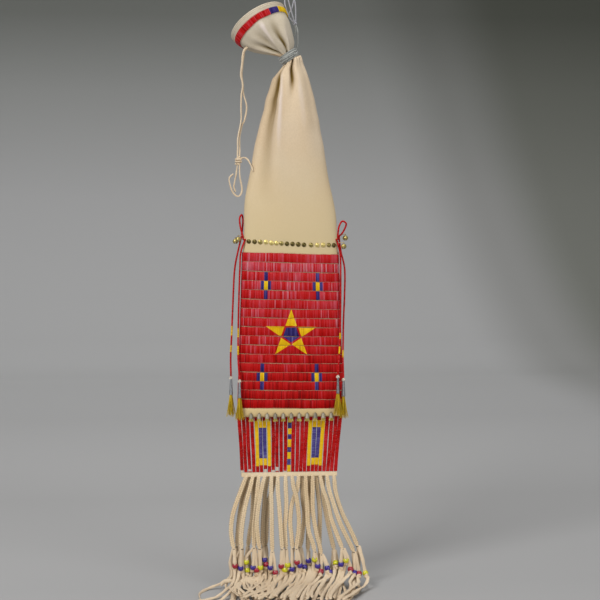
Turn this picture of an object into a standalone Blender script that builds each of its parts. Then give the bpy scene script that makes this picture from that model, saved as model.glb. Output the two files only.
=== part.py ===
"""Quillwork pipe bag at its real size, in metres, +Z up, with its front facing -Y.

The bag hangs, so the origin is the top of its hanging cord and everything else lies below it.
The loose ends of its fringe lie on a level surface under the bag.
"""

import collections
import math

import bmesh
import bpy
from mathutils import Vector

# Clearance between pieces that touch
GAP = 0.0003

# Cords: distance between a tube's points, in diameters
CORD_STEP = 2.9

# Hanging cord, from its top to the middle of the neck tie
CORD_DROP = 0.1065
CORD_DIAMETER = 0.0022
CORD_KNOT_DROP = 0.054
CORD_KNOT_SIDE = 0.0085
CORD_KNOT_BACK = 0.0150
CORD_KNOT_DIAMETER = 0.006

# Hide: rows of (drop below the neck, shift right, half width, half depth, pleat depth)
HIDE_ROWS = (
    (0.0400, 0.0003, 0.0320, 0.0225, 0.0038),
    (0.0720, -0.0007, 0.0420, 0.0265, 0.0042),
    (0.1040, -0.0011, 0.0486, 0.0280, 0.0032),
    (0.1440, -0.0021, 0.0566, 0.0270, 0.0022),
    (0.1840, -0.0026, 0.0624, 0.0250, 0.0012),
    (0.2330, -0.0022, 0.0718, 0.0215, 0.0005),
    (0.2810, 0.0, 0.0745, 0.0180, 0.0),
    (0.3215, 0.0, 0.0770, 0.0145, 0.0),
)

# Shoulders, slanting with the tie: rows of (drop below the neck, shift right, lean left, half width, half depth, pleat depth)
SHOULDER_ROWS = (
    (0.0090, 0.0024, 30, 0.0170, 0.0148, 0.0010),
    (0.0240, -0.0011, 20, 0.0252, 0.0180, 0.0022),
)
HIDE_FOOT_HALF_WIDTH = 0.0855
HIDE_FOOT_HALF_DEPTH = 0.0100
HIDE_WALL = 0.0016
HIDE_SEGMENTS = 36
PLEATS = 9
FLAT_POWER = 2.5

# Neck and mouth: rows of (centre's shift right, shift back and rise above the neck, lean left, lean back, radius, pleat depth)
NECK_RADIUS = 0.0128
NECK_SHIFT = -0.0027
NECK_SAG = 0.0028
NECK_LEAN = 32
NECK_PLEAT = 0.0006
MOUTH_ROWS = (
    (-0.0082, 0.0009, 0.0076, 32, 4, 0.0181, 0.0018),
    (-0.0123, 0.0018, 0.0122, 32, 8, 0.0236, 0.0026),
    (-0.0215, 0.0042, 0.0208, 34, 13, 0.0323, 0.0020),
    (-0.0319, 0.0075, 0.0302, 34, 17, 0.0400, 0.0008),
    (-0.0414, 0.0104, 0.0393, 33, 20, 0.0442, 0.0004),
    (-0.0505, 0.0136, 0.0513, 31, 21.5, 0.0492, 0.0003),
)
RIM_ROLL = 0.0016
RIM_MARGIN = 0.006
BAND_HEIGHT = 0.009
BAND_THICKNESS = 0.0011
BAND_STAND = GAP + 0.0002
BLUE_START = 300
YELLOW_START = 320
YELLOW_END = 400

# Yarn tie round the neck
TIE_TURNS = 4
TIE_YARN = 0.003
TIE_CLEARANCE = 0.0009

# Quill panels
LANE_COUNT = 17
LANE_PITCH = 0.0146
QUILL_THICKNESS = 0.0020
LANE_GROOVE = 0.0006
PANEL_SEAM = 2.5
PANEL_LEVELS = (0.0, 0.25, 0.5, 0.75, 1.0)
STAR_LANE = 6
STAR_LANES = 5
CROSS_PLACES = ((-0.040, 2), (0.045, 2), (-0.044, 12), (0.042, 12))
CROSS_ARM = 0.0060
CROSS_SPAN = 0.0170
CROSS_LANES = 3
CROSS_CENTRE = 0.0065
OVERLAY_THICKNESS = 0.0008

# Brass spots sewn in a row above the front panel
SPOT_COUNT = 16
SPOT_DIAMETER = 0.0070
SPOT_THICKNESS = 0.0009
SPOT_DOME = 0.0006
SPOT_STAND = 0.0007
SPOT_RISE = 0.0186
SPOT_MARGIN = 0.0070
SPOT_THREAD = 0.0008

# Dyed colours, in the order of the materials of one object
RED, YELLOW, BLUE = "red", "yellow", "blue"
DYES = (RED, YELLOW, BLUE)

# Welt and slats
WELT_HEIGHT = 0.0140
WELT_OVERHANG = 0.0024
WELT_ROUNDING = 0.0007
SLAT_LENGTH = 0.0905
SLAT_TOP_HALF_WIDTH = 0.0850
SLAT_FOOT_HALF_WIDTH = 0.0780
SLAT_GAP = 0.0022
SLAT_THICKNESS = 0.0018
RAIL_HEIGHT = 0.0045

# Quill wrapping of the slats: (drop below their top where a colour ends, colour)
PLAIN_SLAT = ((SLAT_LENGTH, RED),)
EDGE_SLAT = ((0.0072, RED), (0.0802, YELLOW), (SLAT_LENGTH, RED))
INNER_SLAT = ((0.0072, RED), (0.0170, YELLOW), (0.0679, BLUE), (0.0786, YELLOW), (SLAT_LENGTH, RED))
MIDDLE_SLAT = (
    (0.0105, YELLOW),
    (0.0188, BLUE),
    (0.0298, YELLOW),
    (0.0378, BLUE),
    (0.0496, YELLOW),
    (0.0577, BLUE),
    (0.0692, YELLOW),
    (0.0792, BLUE),
    (SLAT_LENGTH, YELLOW),
)
RECTANGLE = [EDGE_SLAT, INNER_SLAT, INNER_SLAT, EDGE_SLAT]
HALF_PATTERN = [PLAIN_SLAT] * 4 + RECTANGLE + [PLAIN_SLAT] * 4
SLAT_PATTERN = HALF_PATTERN + [MIDDLE_SLAT] + HALF_PATTERN

# Fringe band
FRINGE_BAND_HEIGHT = 0.0070
FRINGE_BAND_THICKNESS = 0.0016
FRINGE_OVERLAP = 0.0040

# Braids and their loose ends: (place on the band, place of the tied end)
BRAID_LENGTH = 0.1200
BRAID_WIDTH = 0.0080
BRAID_THICKNESS = 0.0050
BRAID_BOW = 0.0060
FRONT_BRAIDS = (
    (-0.0725, -0.0910),
    (-0.0610, -0.0780),
    (-0.0500, -0.0660),
    (-0.0395, -0.0500),
    (-0.0290, -0.0287),
    (-0.0180, -0.0120),
    (-0.0070, 0.0040),
    (0.0040, 0.0167),
    (0.0150, 0.0306),
    (0.0265, 0.0420),
    (0.0380, 0.0540),
    (0.0490, 0.0730),
    (0.0600, 0.0850),
    (0.0715, 0.1040),
)
BACK_BRAIDS = (
    (-0.0665, -0.0820),
    (-0.0475, -0.0550),
    (-0.0285, -0.0270),
    (-0.0095, -0.0040),
    (0.0095, 0.0180),
    (0.0285, 0.0400),
    (0.0475, 0.0650),
    (0.0665, 0.0900),
)
TAIL_DROP = 0.0592
TAIL_WIDTH = 0.0040
TAIL_THICKNESS = 0.0018
TAIL_SPREAD_LEFT = -0.1000
TAIL_SPREAD_RIGHT = 0.1000
TAIL_REACH = 0.1000
BACK_TAIL_REACH = 0.0500
TAIL_LAYER = 0.0008
TAIL_LIFT = 0.0010
TAIL_WANDER = 0.0040

# How far out from its braid a loose end is at its bead, its knee and where it lands
FRONT_TAIL_STEPS = (0.0030, 0.0080, 0.0220)
BACK_TAIL_STEPS = (0.0060, 0.0180)

# Loose ends that run far out on the surface: their points on it, outwards
LONG_TAILS = {
    0: ((-0.1180, -0.0160), (-0.1380, -0.0300), (-0.1470, -0.0600), (-0.1440, -0.0860)),
    1: ((-0.0960, -0.0500), (-0.1080, -0.1000), (-0.1350, -0.1180), (-0.1720, -0.0980)),
    2: ((-0.0840, -0.0500), (-0.0960, -0.1200), (-0.1500, -0.1450), (-0.2500, -0.0980)),
}

# Beads on the front loose ends, from left to right: (place, height above the surface, colour)
BEAD_DIAMETER = 0.0088
BEAD_HEIGHT = 0.0062
BEADS = (
    (-0.0876, 0.034, RED),
    (-0.0783, 0.028, BLUE),
    (-0.0690, 0.039, YELLOW),
    (-0.0597, 0.031, BLUE),
    (-0.0538, 0.025, RED),
    (-0.0463, 0.032, YELLOW),
    (-0.0410, 0.043, BLUE),
    (-0.0370, 0.034, RED),
    (-0.0319, 0.026, BLUE),
    (-0.0241, 0.022, RED),
    (-0.0090, 0.027, YELLOW),
    (-0.0034, 0.034, YELLOW),
    (0.0036, 0.027, BLUE),
    (0.0120, 0.038, RED),
    (0.0172, 0.030, RED),
    (0.0241, 0.031, BLUE),
    (0.0306, 0.041, BLUE),
    (0.0410, 0.045, YELLOW),
    (0.0453, 0.033, BLUE),
    (0.0513, 0.025, RED),
    (0.0617, 0.027, BLUE),
    (0.0656, 0.036, YELLOW),
    (0.0739, 0.037, YELLOW),
    (0.0836, 0.036, BLUE),
    (0.0908, 0.042, YELLOW),
    (0.0991, 0.028, RED),
    (0.1126, 0.024, RED),
    (0.1217, 0.021, YELLOW),
)

# Small tin cones along the welt
SMALL_CONE_COUNT = 11
SMALL_CONE_PITCH = 0.0130
SMALL_CONE_LENGTH = 0.0100
SMALL_CONE_TOP = 0.0022
SMALL_CONE_MOUTH = 0.0062
SMALL_CONE_STUB = 0.0016
SMALL_TUFT = 0.0036
SMALL_CONE_DROP = 0.0075

# Pendants: quill-wrapped thongs that end in tall tin cones
THONG_DIAMETER = 0.0030
TALL_CONE_LENGTH = 0.0245
TALL_CONE_TOP = 0.0034
TALL_CONE_MOUTH = 0.0058
TALL_TUFT = 0.0370
TALL_TUFT_WIDTH = 0.0105
TALL_KNOT = 0.0050

# Hawk bells
BELL_DIAMETER = 0.0088
BELL_SHANK = 0.0022
BELL_SLIT = 0.0010
BELL_LACE = 0.0014

# Each bell: (top of its shank, place of its lace on a pendant's thong)
BELLS = {
    "left_front_bell": ((-0.0850, -0.0090, -0.3965), (-0.0775, -0.0032, -0.3965)),
    "left_rear_bell": ((-0.0885, 0.0105, -0.4000), (-0.0797, 0.0032, -0.4000)),
    "right_front_bell": ((0.0850, -0.0140, -0.4080), (0.0757, -0.0076, -0.4080)),
    "right_rear_bell": ((0.0905, 0.0110, -0.3950), (0.0828, 0.0036, -0.3950)),
}

# Drawstring
STRING_DIAMETER = 0.0027
STRING_KNOT_DIAMETER = 0.0080
STRING_KNOT_HEIGHT = 0.0100
STRING_KNOT_PLACE = (-0.0840, -0.0020, -0.2764)

# Cord routes: each cord's own points, picked along it in the photographed pose
ROUTES = {
    "hanging_loop": (
        (0.0071, 0.0150, -0.0504),
        (0.0005, 0.0085, -0.0300),
        (-0.0045, 0.0030, -0.0130),
        (-0.0044, 0.0005, -0.0041),
        (0.0000, 0.0000, -0.0011),
        (0.0044, 0.0005, -0.0041),
        (0.0060, 0.0030, -0.0130),
        (0.0090, 0.0085, -0.0300),
        (0.0099, 0.0150, -0.0504),
    ),
    "hanging_cord": (
        (0.0085, 0.0150, -0.0576),
        (0.0095, 0.0150, -0.0670),
        (0.0049, 0.0172, -0.0797),
        (0.0045, 0.0180, -0.0930),
        (0.0009, 0.0166, -0.1067),
    ),
    "drawstring_first_strand": (
        (-0.0690, -0.0006, -0.0945),
        (-0.0744, -0.0012, -0.0990),
        (-0.0768, -0.0012, -0.1070),
        (-0.0782, -0.0010, -0.1230),
        (-0.0798, -0.0010, -0.1390),
        (-0.0768, -0.0010, -0.1550),
        (-0.0789, -0.0010, -0.1710),
        (-0.0796, -0.0010, -0.1914),
        (-0.0796, -0.0010, -0.2110),
        (-0.0838, -0.0015, -0.2330),
        (-0.0853, -0.0020, -0.2430),
        (-0.0852, -0.0020, -0.2560),
        (-0.0857, -0.0020, -0.2708),
    ),
    "drawstring_second_strand": (
        (-0.0697, 0.0056, -0.0957),
        (-0.0738, 0.0038, -0.1010),
        (-0.0750, 0.0028, -0.1080),
        (-0.0768, 0.0024, -0.1230),
        (-0.0780, 0.0024, -0.1390),
        (-0.0760, 0.0024, -0.1550),
        (-0.0755, 0.0024, -0.1690),
        (-0.0705, 0.0020, -0.1898),
        (-0.0738, 0.0024, -0.2106),
        (-0.0775, 0.0024, -0.2180),
        (-0.0812, 0.0020, -0.2330),
        (-0.0822, 0.0016, -0.2430),
        (-0.0820, 0.0010, -0.2560),
        (-0.0823, -0.0016, -0.2708),
    ),
    "drawstring_loop": (
        (-0.0822, -0.0020, -0.2823),
        (-0.0820, -0.0030, -0.3010),
        (-0.0785, -0.0030, -0.3215),
        (-0.0815, -0.0030, -0.3315),
        (-0.0870, -0.0030, -0.3330),
        (-0.0940, -0.0030, -0.3255),
        (-0.0985, -0.0020, -0.3115),
        (-0.0985, -0.0010, -0.3035),
        (-0.0925, 0.0000, -0.2975),
    ),
    "drawstring_short_end": (
        (-0.0858, -0.0016, -0.2823),
        (-0.0876, 0.0004, -0.2980),
        (-0.0912, 0.0018, -0.3170),
        (-0.0890, 0.0024, -0.3260),
    ),
    "drawstring_tail": (
        (-0.0796, -0.0026, -0.2730),
        (-0.0755, -0.0048, -0.2712),
        (-0.0695, -0.0080, -0.2745),
        (-0.0640, -0.0112, -0.2845),
        (-0.0612, -0.0128, -0.2925),
    ),
    "left_outer_thong": (
        (-0.0766, -0.0025, -0.4030),
        (-0.0775, -0.0032, -0.3965),
        (-0.0812, -0.0034, -0.3820),
        (-0.0822, -0.0010, -0.3690),
        (-0.0787, 0.0020, -0.3630),
        (-0.0767, 0.0036, -0.3710),
        (-0.0777, 0.0034, -0.3860),
        (-0.0797, 0.0032, -0.4000),
        (-0.0850, 0.0030, -0.4230),
        (-0.0905, 0.0020, -0.4530),
        (-0.0933, 0.0000, -0.5060),
        (-0.0955, -0.0010, -0.5570),
        (-0.0972, -0.0010, -0.5920),
        (-0.0968, -0.0010, -0.6240),
    ),
    "left_inner_thong": (
        (-0.0738, -0.0077, -0.4020),
        (-0.0808, -0.0066, -0.4240),
        (-0.0822, -0.0068, -0.4480),
        (-0.0840, -0.0072, -0.4980),
        (-0.0852, -0.0080, -0.5480),
        (-0.0856, -0.0098, -0.5930),
        (-0.0835, -0.0140, -0.6280),
    ),
    "right_outer_thong": (
        (0.0766, -0.0025, -0.4030),
        (0.0772, -0.0032, -0.3900),
        (0.0790, -0.0032, -0.3810),
        (0.0840, -0.0020, -0.3735),
        (0.0907, 0.0000, -0.3780),
        (0.0866, 0.0030, -0.3895),
        (0.0828, 0.0036, -0.3950),
        (0.0797, 0.0040, -0.4000),
        (0.0825, 0.0030, -0.4230),
        (0.0885, 0.0020, -0.4520),
        (0.0878, -0.0020, -0.4950),
        (0.0860, -0.0050, -0.5300),
        (0.0850, -0.0080, -0.5650),
        (0.0845, -0.0110, -0.6000),
        (0.0850, -0.0140, -0.6270),
    ),
    "right_inner_thong": (
        (0.0738, -0.0077, -0.4020),
        (0.0757, -0.0076, -0.4080),
        (0.0800, -0.0076, -0.4270),
        (0.0808, -0.0084, -0.4600),
        (0.0805, -0.0100, -0.5200),
        (0.0795, -0.0120, -0.5650),
        (0.0772, -0.0165, -0.5960),
        (0.0756, -0.0200, -0.6130),
        (0.0752, -0.0205, -0.6215),
    ),
}

FRONT = math.radians(270)

NECK_Z = -CORD_DROP
PANEL_TOP = NECK_Z - HIDE_ROWS[-1][0]
PANEL_FOOT = PANEL_TOP - LANE_COUNT * LANE_PITCH
WELT_FOOT = PANEL_FOOT - GAP - WELT_HEIGHT
SLAT_TOP = WELT_FOOT - GAP
SLAT_FOOT = SLAT_TOP - SLAT_LENGTH - RAIL_HEIGHT
BAND_TOP = SLAT_FOOT + FRINGE_OVERLAP
BAND_FOOT = BAND_TOP - FRINGE_BAND_HEIGHT
BRAID_FOOT = BAND_FOOT - BRAID_LENGTH
SURFACE_Z = BRAID_FOOT - TAIL_DROP

Station = collections.namedtuple("Station", "centre across depth half_width half_depth power pleat")


# Scene, materials and mesh helpers


def clear_scene():
    for obj in list(bpy.data.objects):
        bpy.data.objects.remove(obj, do_unlink=True)


def finish(name, colour, roughness, metallic=0.0):
    """A plain material of one colour."""
    made = bpy.data.materials.new(name)
    made.use_nodes = True
    shader = made.node_tree.nodes["Principled BSDF"]
    shader.inputs["Base Color"].default_value = (*colour, 1.0)
    shader.inputs["Roughness"].default_value = roughness
    shader.inputs["Metallic"].default_value = metallic
    made.diffuse_color = (*colour, 1.0)
    return made


def add_object(name, bm, material, origin=(0, 0, 0), more=()):
    """Turns a bmesh in world coordinates into an object whose origin is at the given point."""
    bmesh.ops.translate(bm, vec=-Vector(origin), verts=bm.verts)
    mesh = bpy.data.meshes.new(name)
    bm.to_mesh(mesh)
    bm.free()
    mesh.shade_smooth()
    mesh.set_sharp_from_angle(angle=math.radians(40))
    for used in (material, *more):
        mesh.materials.append(used)
    obj = bpy.data.objects.new(name, mesh)
    obj.location = origin
    bpy.context.scene.collection.objects.link(obj)
    return obj


def hide_helper(obj):
    obj.hide_render = True
    obj.display_type = "WIRE"


def boolean(obj, operation, helper):
    modifier = obj.modifiers.new(helper.name, "BOOLEAN")
    modifier.operation = operation
    modifier.object = helper
    modifier.solver = "EXACT"


def loft(bm, rings, cyclic=False):
    """Joins rings of points into a skin, and caps its two ends unless it closes on itself."""
    loops = [[bm.verts.new(point) for point in points] for points in rings]
    pairs = list(zip(loops, loops[1:]))
    if cyclic:
        pairs.append((loops[-1], loops[0]))
    made = []
    for low, high in pairs:
        for i in range(len(low)):
            made.append(bm.faces.new((low[i - 1], low[i], high[i], high[i - 1])))
    if not cyclic:
        made += [bm.faces.new(loops[0]), bm.faces.new(loops[-1])]
    bmesh.ops.recalc_face_normals(bm, faces=made)


def circle(centre, across, depth, radius, sides, flat=1.0):
    """Points of a circle, or of an ellipse where flat is less than 1."""
    angles = [2 * math.pi * i / sides for i in range(sides)]
    return [
        centre + across * (radius * math.cos(a)) + depth * (radius * flat * math.sin(a))
        for a in angles
    ]


def turned(bm, profile, sides, at=Vector((0, 0, 0))):
    """A turned solid from (radius, height) pairs about a vertical axis through a point."""
    rings = [
        circle(at + Vector((0, 0, height)), Vector((1, 0, 0)), Vector((0, 1, 0)), radius, sides)
        for radius, height in profile
    ]
    loft(bm, rings)


def smooth_curve(points, count):
    """Evenly spaced points on a smooth curve through the given points."""
    knots = [Vector(p) for p in points]
    knots = [2 * knots[0] - knots[1], *knots, 2 * knots[-1] - knots[-2]]
    fine = []
    for a, b, c, d in zip(knots, knots[1:], knots[2:], knots[3:]):
        for step in range(16):
            t = step / 16
            fine.append(
                0.5
                * (
                    2 * b
                    + (c - a) * t
                    + (2 * a - 5 * b + 4 * c - d) * t**2
                    + (3 * b - a - 3 * c + d) * t**3
                )
            )
    fine.append(knots[-2])
    run = [0.0]
    for start, end in zip(fine, fine[1:]):
        run.append(run[-1] + (end - start).length)
    spaced = []
    index = 0
    for i in range(count):
        wanted = run[-1] * i / (count - 1)
        while index < len(run) - 2 and run[index + 1] < wanted:
            index += 1
        share = (wanted - run[index]) / (run[index + 1] - run[index])
        spaced.append(fine[index].lerp(fine[index + 1], min(share, 1.0)))
    return spaced


def thread_tube(bm, points, diameter, sides):
    """A thin round tube along a path that runs roughly level."""
    rings = []
    last = len(points) - 1
    for i, point in enumerate(points):
        along = (points[min(i + 1, last)] - points[max(i - 1, 0)]).normalized()
        side = along.cross(Vector((0, 0, 1))).normalized()
        rings.append(circle(point, side, along.cross(side), diameter / 2, sides))
    loft(bm, rings)


def prism(name, outline, near, far):
    """A hidden cutter: an upright outline of (x, z) points, pulled along Y."""
    bm = bmesh.new()
    loft(bm, [[Vector((x, y, z)) for x, z in outline] for y in (near, far)])
    made = add_object(name, bm, bpy.data.materials.get("hide"))
    hide_helper(made)
    return made


# Hide bag


def panel_drop(share):
    """The drop below the tie at a share of the quill panels' height."""
    return HIDE_ROWS[-1][0] + share * LANE_COUNT * LANE_PITCH


def body_station(drop):
    """The hide's level section at a drop below the tie, between its rows."""
    foot = (panel_drop(1), 0.0, HIDE_FOOT_HALF_WIDTH, HIDE_FOOT_HALF_DEPTH, 0.0)
    rows = (*HIDE_ROWS, foot)
    for low, high in zip(rows, rows[1:]):
        if drop <= high[0] + 1e-9:
            break
    share = (drop - low[0]) / (high[0] - low[0])
    _, shift, wide, deep, pleat = (a + (b - a) * share for a, b in zip(low, high))
    flat_from = HIDE_ROWS[-2][0]
    power = 2 + (FLAT_POWER - 2) * min(1.0, drop / flat_from)
    centre = Vector((shift, 0, NECK_Z - drop))
    return Station(centre, Vector((1, 0, 0)), Vector((0, 1, 0)), wide, deep, power, pleat)


def leaning_station(centre, lean, back, half_width, half_depth, pleat):
    """A section whose axis leans left and back by the given degrees."""
    left, rear = math.radians(lean), math.radians(back)
    across = Vector((math.cos(left), 0, math.sin(left)))
    axis = Vector((-math.sin(left), 0, math.cos(left)))
    depth = Vector((0, 1, 0)) * math.cos(rear) - axis * math.sin(rear)
    return Station(centre, across, depth, half_width, half_depth, 2.0, pleat)


def shoulder_stations():
    """Slanting sections from the level hide up to just below the tie."""
    return [
        leaning_station(Vector((shift, 0, NECK_Z - drop)), lean, 0, wide, deep, pleat)
        for drop, shift, lean, wide, deep, pleat in reversed(SHOULDER_ROWS)
    ]


def neck_station(rise=0.0):
    """The gathered neck's section, at a rise along it from the middle of the tie."""
    lean = math.radians(NECK_LEAN)
    along = Vector((-math.sin(lean), 0, math.cos(lean)))
    centre = Vector((NECK_SHIFT, 0, NECK_Z - NECK_SAG)) + along * rise
    return leaning_station(centre, NECK_LEAN, 0, NECK_RADIUS, NECK_RADIUS, NECK_PLEAT)


def mouth_stations():
    """Sections from just above the tie to the rim."""
    return [
        leaning_station(Vector((shift, rear, NECK_Z + rise)), lean, back, radius, radius, pleat)
        for shift, rear, rise, lean, back, radius, pleat in MOUTH_ROWS
    ]


def flat_point(station, angle):
    power = 2 / station.power
    c, s = math.cos(angle), math.sin(angle)
    x = station.half_width * math.copysign(abs(c) ** power, c)
    y = station.half_depth * math.copysign(abs(s) ** power, s)
    return x, y


def skin_point(station, angle, offset=0.0):
    """A point on the hide at a station, moved outwards by an offset."""
    step = 0.01
    x, y = flat_point(station, angle)
    x0, y0 = flat_point(station, angle - step)
    x1, y1 = flat_point(station, angle + step)
    length = math.hypot(x1 - x0, y1 - y0)
    out_x, out_y = (y1 - y0) / length, (x0 - x1) / length
    shift = offset - station.pleat * (0.5 + 0.5 * math.cos(PLEATS * (angle - FRONT)))
    return (
        station.centre
        + station.across * (x + out_x * shift)
        + station.depth * (y + out_y * shift)
    )


def skin_ring(station, offset=0.0, flat_sides=False):
    """A ring round the hide. Flat sides put every second point midway between its neighbours."""
    angles = [2 * math.pi * i / HIDE_SEGMENTS for i in range(HIDE_SEGMENTS)]
    ring = [skin_point(station, angle, offset) for angle in angles]
    if flat_sides:
        for i in range(1, HIDE_SEGMENTS, 2):
            ring[i] = ring[i - 1].lerp(ring[(i + 1) % HIDE_SEGMENTS], 0.5)
    return ring


def front_point(drop, x, offset=0.0):
    """The point of the hide's front at a drop and a place across, moved outwards by an offset."""
    station = body_station(drop)
    share = min(0.999, abs(x) / station.half_width)
    angle = FRONT + math.copysign(math.pi / 2 - math.acos(share ** (station.power / 2)), x)
    return skin_point(station, angle, offset)


def side_edge(drop):
    """How far the hide's side edge lies from the middle at a drop."""
    return body_station(drop).half_width


def hide_bag(material):
    """One hide: the flat bag, the gathered neck and the open mouth above the tie."""
    drops = [panel_drop(share) for share in reversed(PANEL_LEVELS)]
    drops += [row[0] for row in reversed(HIDE_ROWS[:-1])]
    half_tie = TIE_TURNS * TIE_YARN / 2 + GAP
    neck = [neck_station(-half_tie), neck_station(half_tie)]
    outer = [body_station(drop) for drop in drops] + shoulder_stations() + neck + mouth_stations()
    inner = list(reversed(mouth_stations()))[::2]
    flat = len(PANEL_LEVELS)
    rings = [skin_ring(station, flat_sides=i < flat) for i, station in enumerate(outer)]
    rim = outer[-1]
    up = rim.across.cross(rim.depth)
    crown = rim._replace(centre=rim.centre + up * RIM_ROLL * 2)
    rings.append(skin_ring(crown, -HIDE_WALL / 4))
    rings.append(skin_ring(crown, -HIDE_WALL * 3 / 4))
    rings += [skin_ring(station, -HIDE_WALL) for station in inner]
    bm = bmesh.new()
    loft(bm, rings)
    return add_object("hide_bag", bm, material)


def mouth_band(name, material, start, end):
    """One colour of the quilled band round the outside of the mouth, between two angles in degrees."""
    rim, below = mouth_stations()[-1], mouth_stations()[-2]
    drop = (rim.centre - below.centre).length
    shares = (RIM_MARGIN / drop, min(1.0, (RIM_MARGIN + BAND_HEIGHT) / drop))
    steps = max(2, round((end - start) / (360 / HIDE_SEGMENTS)))
    seam = math.degrees(GAP / rim.half_width) / 2
    angles = [start + seam + (end - start - 2 * seam) * i / steps for i in range(steps + 1)]
    rings = []
    for degrees in angles:
        angle = math.radians(degrees)
        ring = []
        for share, offset in zip((*shares, *reversed(shares)), (0, 0, BAND_THICKNESS, BAND_THICKNESS)):
            high = skin_point(rim, angle, BAND_STAND + offset)
            ring.append(high.lerp(skin_point(below, angle, BAND_STAND + offset), share))
        rings.append(ring)
    bm = bmesh.new()
    loft(bm, rings)
    return add_object(name, bm, material)


def neck_tie(material):
    """Yarn wound round the neck, as one ridged ring."""
    station = neck_station()
    axis = station.across.cross(station.depth)
    bore = NECK_RADIUS + TIE_CLEARANCE
    half = TIE_TURNS * TIE_YARN / 2
    outline = [(bore, half), (bore, -half)]
    for turn in range(TIE_TURNS):
        low = -half + turn * TIE_YARN
        outline.append((bore + TIE_YARN * 0.45, low + TIE_YARN * 0.04))
        outline.append((bore + TIE_YARN * 0.80, low + TIE_YARN * 0.5))
    outline.append((bore + TIE_YARN * 0.45, half - TIE_YARN * 0.04))
    sides = 12
    rings = []
    for i in range(sides):
        angle = 2 * math.pi * i / sides
        out = station.across * math.cos(angle) + station.depth * math.sin(angle)
        rings.append([station.centre + out * radius + axis * height for radius, height in outline])
    bm = bmesh.new()
    loft(bm, rings, cyclic=True)
    return add_object("neck_tie", bm, material)


# Quill panels


def lane_levels(thickness):
    """(share of the panel's height, thickness) down the ridged face: grooves between round lanes."""
    levels = [(0.0, thickness - LANE_GROOVE)]
    for lane in range(LANE_COUNT):
        levels.append(((lane + 0.5) / LANE_COUNT, thickness))
        levels.append(((lane + 1) / LANE_COUNT, thickness - LANE_GROOVE))
    return levels


def quill_sheet(stand, thickness, front=True):
    """A bmesh of one ridged sheet of quillwork over half of the hide, standing off it by a gap."""
    top, foot = body_station(panel_drop(0)), body_station(panel_drop(1))
    half = HIDE_SEGMENTS // 4
    first = math.pi if front else 0.0
    seam = math.radians(PANEL_SEAM)
    angles = [first + math.pi * i / half for i in range(half + 1)]
    angles[0] += seam
    angles[-1] -= seam
    bm = bmesh.new()

    def row(share, offset):
        made = []
        for angle in angles:
            high, low = skin_point(top, angle, offset), skin_point(foot, angle, offset)
            made.append(bm.verts.new(high.lerp(low, share)))
        return made

    outer = [row(share, stand + depth) for share, depth in lane_levels(thickness)]
    inner = [row(share, stand) for share in PANEL_LEVELS]
    for rows in (outer, inner):
        for high, low in zip(rows, rows[1:]):
            for i in range(half):
                bm.faces.new((high[i], high[i + 1], low[i + 1], low[i]))
    for end in (0, -1):
        for i in range(half):
            bm.faces.new((inner[end][i], inner[end][i + 1], outer[end][i + 1], outer[end][i]))
        bm.faces.new([rows[end] for rows in outer] + [rows[end] for rows in reversed(inner)])
    bmesh.ops.recalc_face_normals(bm, faces=bm.faces)
    return bm


def lane_z(boundary):
    return PANEL_TOP - boundary * LANE_PITCH


def star_outline(radius, waist, centre_z, inset=0.0):
    """Corners of a five-pointed star, drawn in by an inset."""
    points = []
    for i in range(10):
        reach = radius - inset * 2.5 if i % 2 == 0 else waist - inset
        angle = math.pi / 2 - math.pi * i / 5
        points.append((reach * math.cos(angle), centre_z + reach * math.sin(angle)))
    return points


def pentagon_outline(radius, centre_z):
    angles = [-math.pi / 2 + 2 * math.pi * i / 5 for i in range(5)]
    return [(radius * math.cos(a), centre_z + radius * math.sin(a)) for a in angles]


def cross_outline(x, lane, inset=0.0):
    """Corners of a cross whose middle lane is wider than its upright."""
    arm, span = CROSS_ARM / 2 - inset, CROSS_SPAN / 2 - inset
    top, foot = lane_z(lane) - inset, lane_z(lane + CROSS_LANES) + inset
    high, low = lane_z(lane + 1) - inset, lane_z(lane + 2) + inset
    right = [(arm, top), (arm, high), (span, high), (span, low), (arm, low), (arm, foot)]
    left = [(-across, z) for across, z in reversed(right)]
    return [(x + across, z) for across, z in right + left]


def box_outline(x, half_width, top, foot):
    return [(x - half_width, foot), (x + half_width, foot), (x + half_width, top), (x - half_width, top)]


def quill_panels(red, yellow, blue):
    """The two panels, with the star and four crosses set into the front one."""
    near = -3 * HIDE_ROWS[-1][2]
    far = -GAP
    front = add_object("front_quill_panel", quill_sheet(GAP, QUILL_THICKNESS), red)
    add_object("back_quill_panel", quill_sheet(GAP, QUILL_THICKNESS, front=False), red)
    radius = STAR_LANES * LANE_PITCH / (1 + math.cos(math.radians(36)))
    waist = radius * math.cos(math.radians(72)) / math.cos(math.radians(36))
    centre_z = lane_z(STAR_LANE) - radius
    overlay = GAP + QUILL_THICKNESS + GAP

    def inlay(name, material, outline, stand, thickness):
        made = add_object(name, quill_sheet(stand, thickness), material)
        boolean(made, "INTERSECT", prism(name + "_cutter", outline, near, far))

    def opening(name, outline):
        boolean(front, "DIFFERENCE", prism(name, outline, near, far))

    opening("star_opening", star_outline(radius, waist, centre_z))
    inlay("star_points", yellow, star_outline(radius, waist, centre_z, GAP), GAP, QUILL_THICKNESS)
    inlay("star_centre", blue, pentagon_outline(waist, centre_z), overlay, OVERLAY_THICKNESS)
    for index, (x, lane) in enumerate(CROSS_PLACES, 1):
        opening(f"cross_opening_{index}", cross_outline(x, lane))
        inlay(f"cross_blue_{index}", blue, cross_outline(x, lane, GAP), GAP, QUILL_THICKNESS)
        middle = box_outline(x, CROSS_CENTRE / 2, lane_z(lane + 1) - GAP, lane_z(lane + 2) + GAP)
        inlay(f"cross_yellow_{index}", yellow, middle, overlay, OVERLAY_THICKNESS)


# Brass spots


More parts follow.
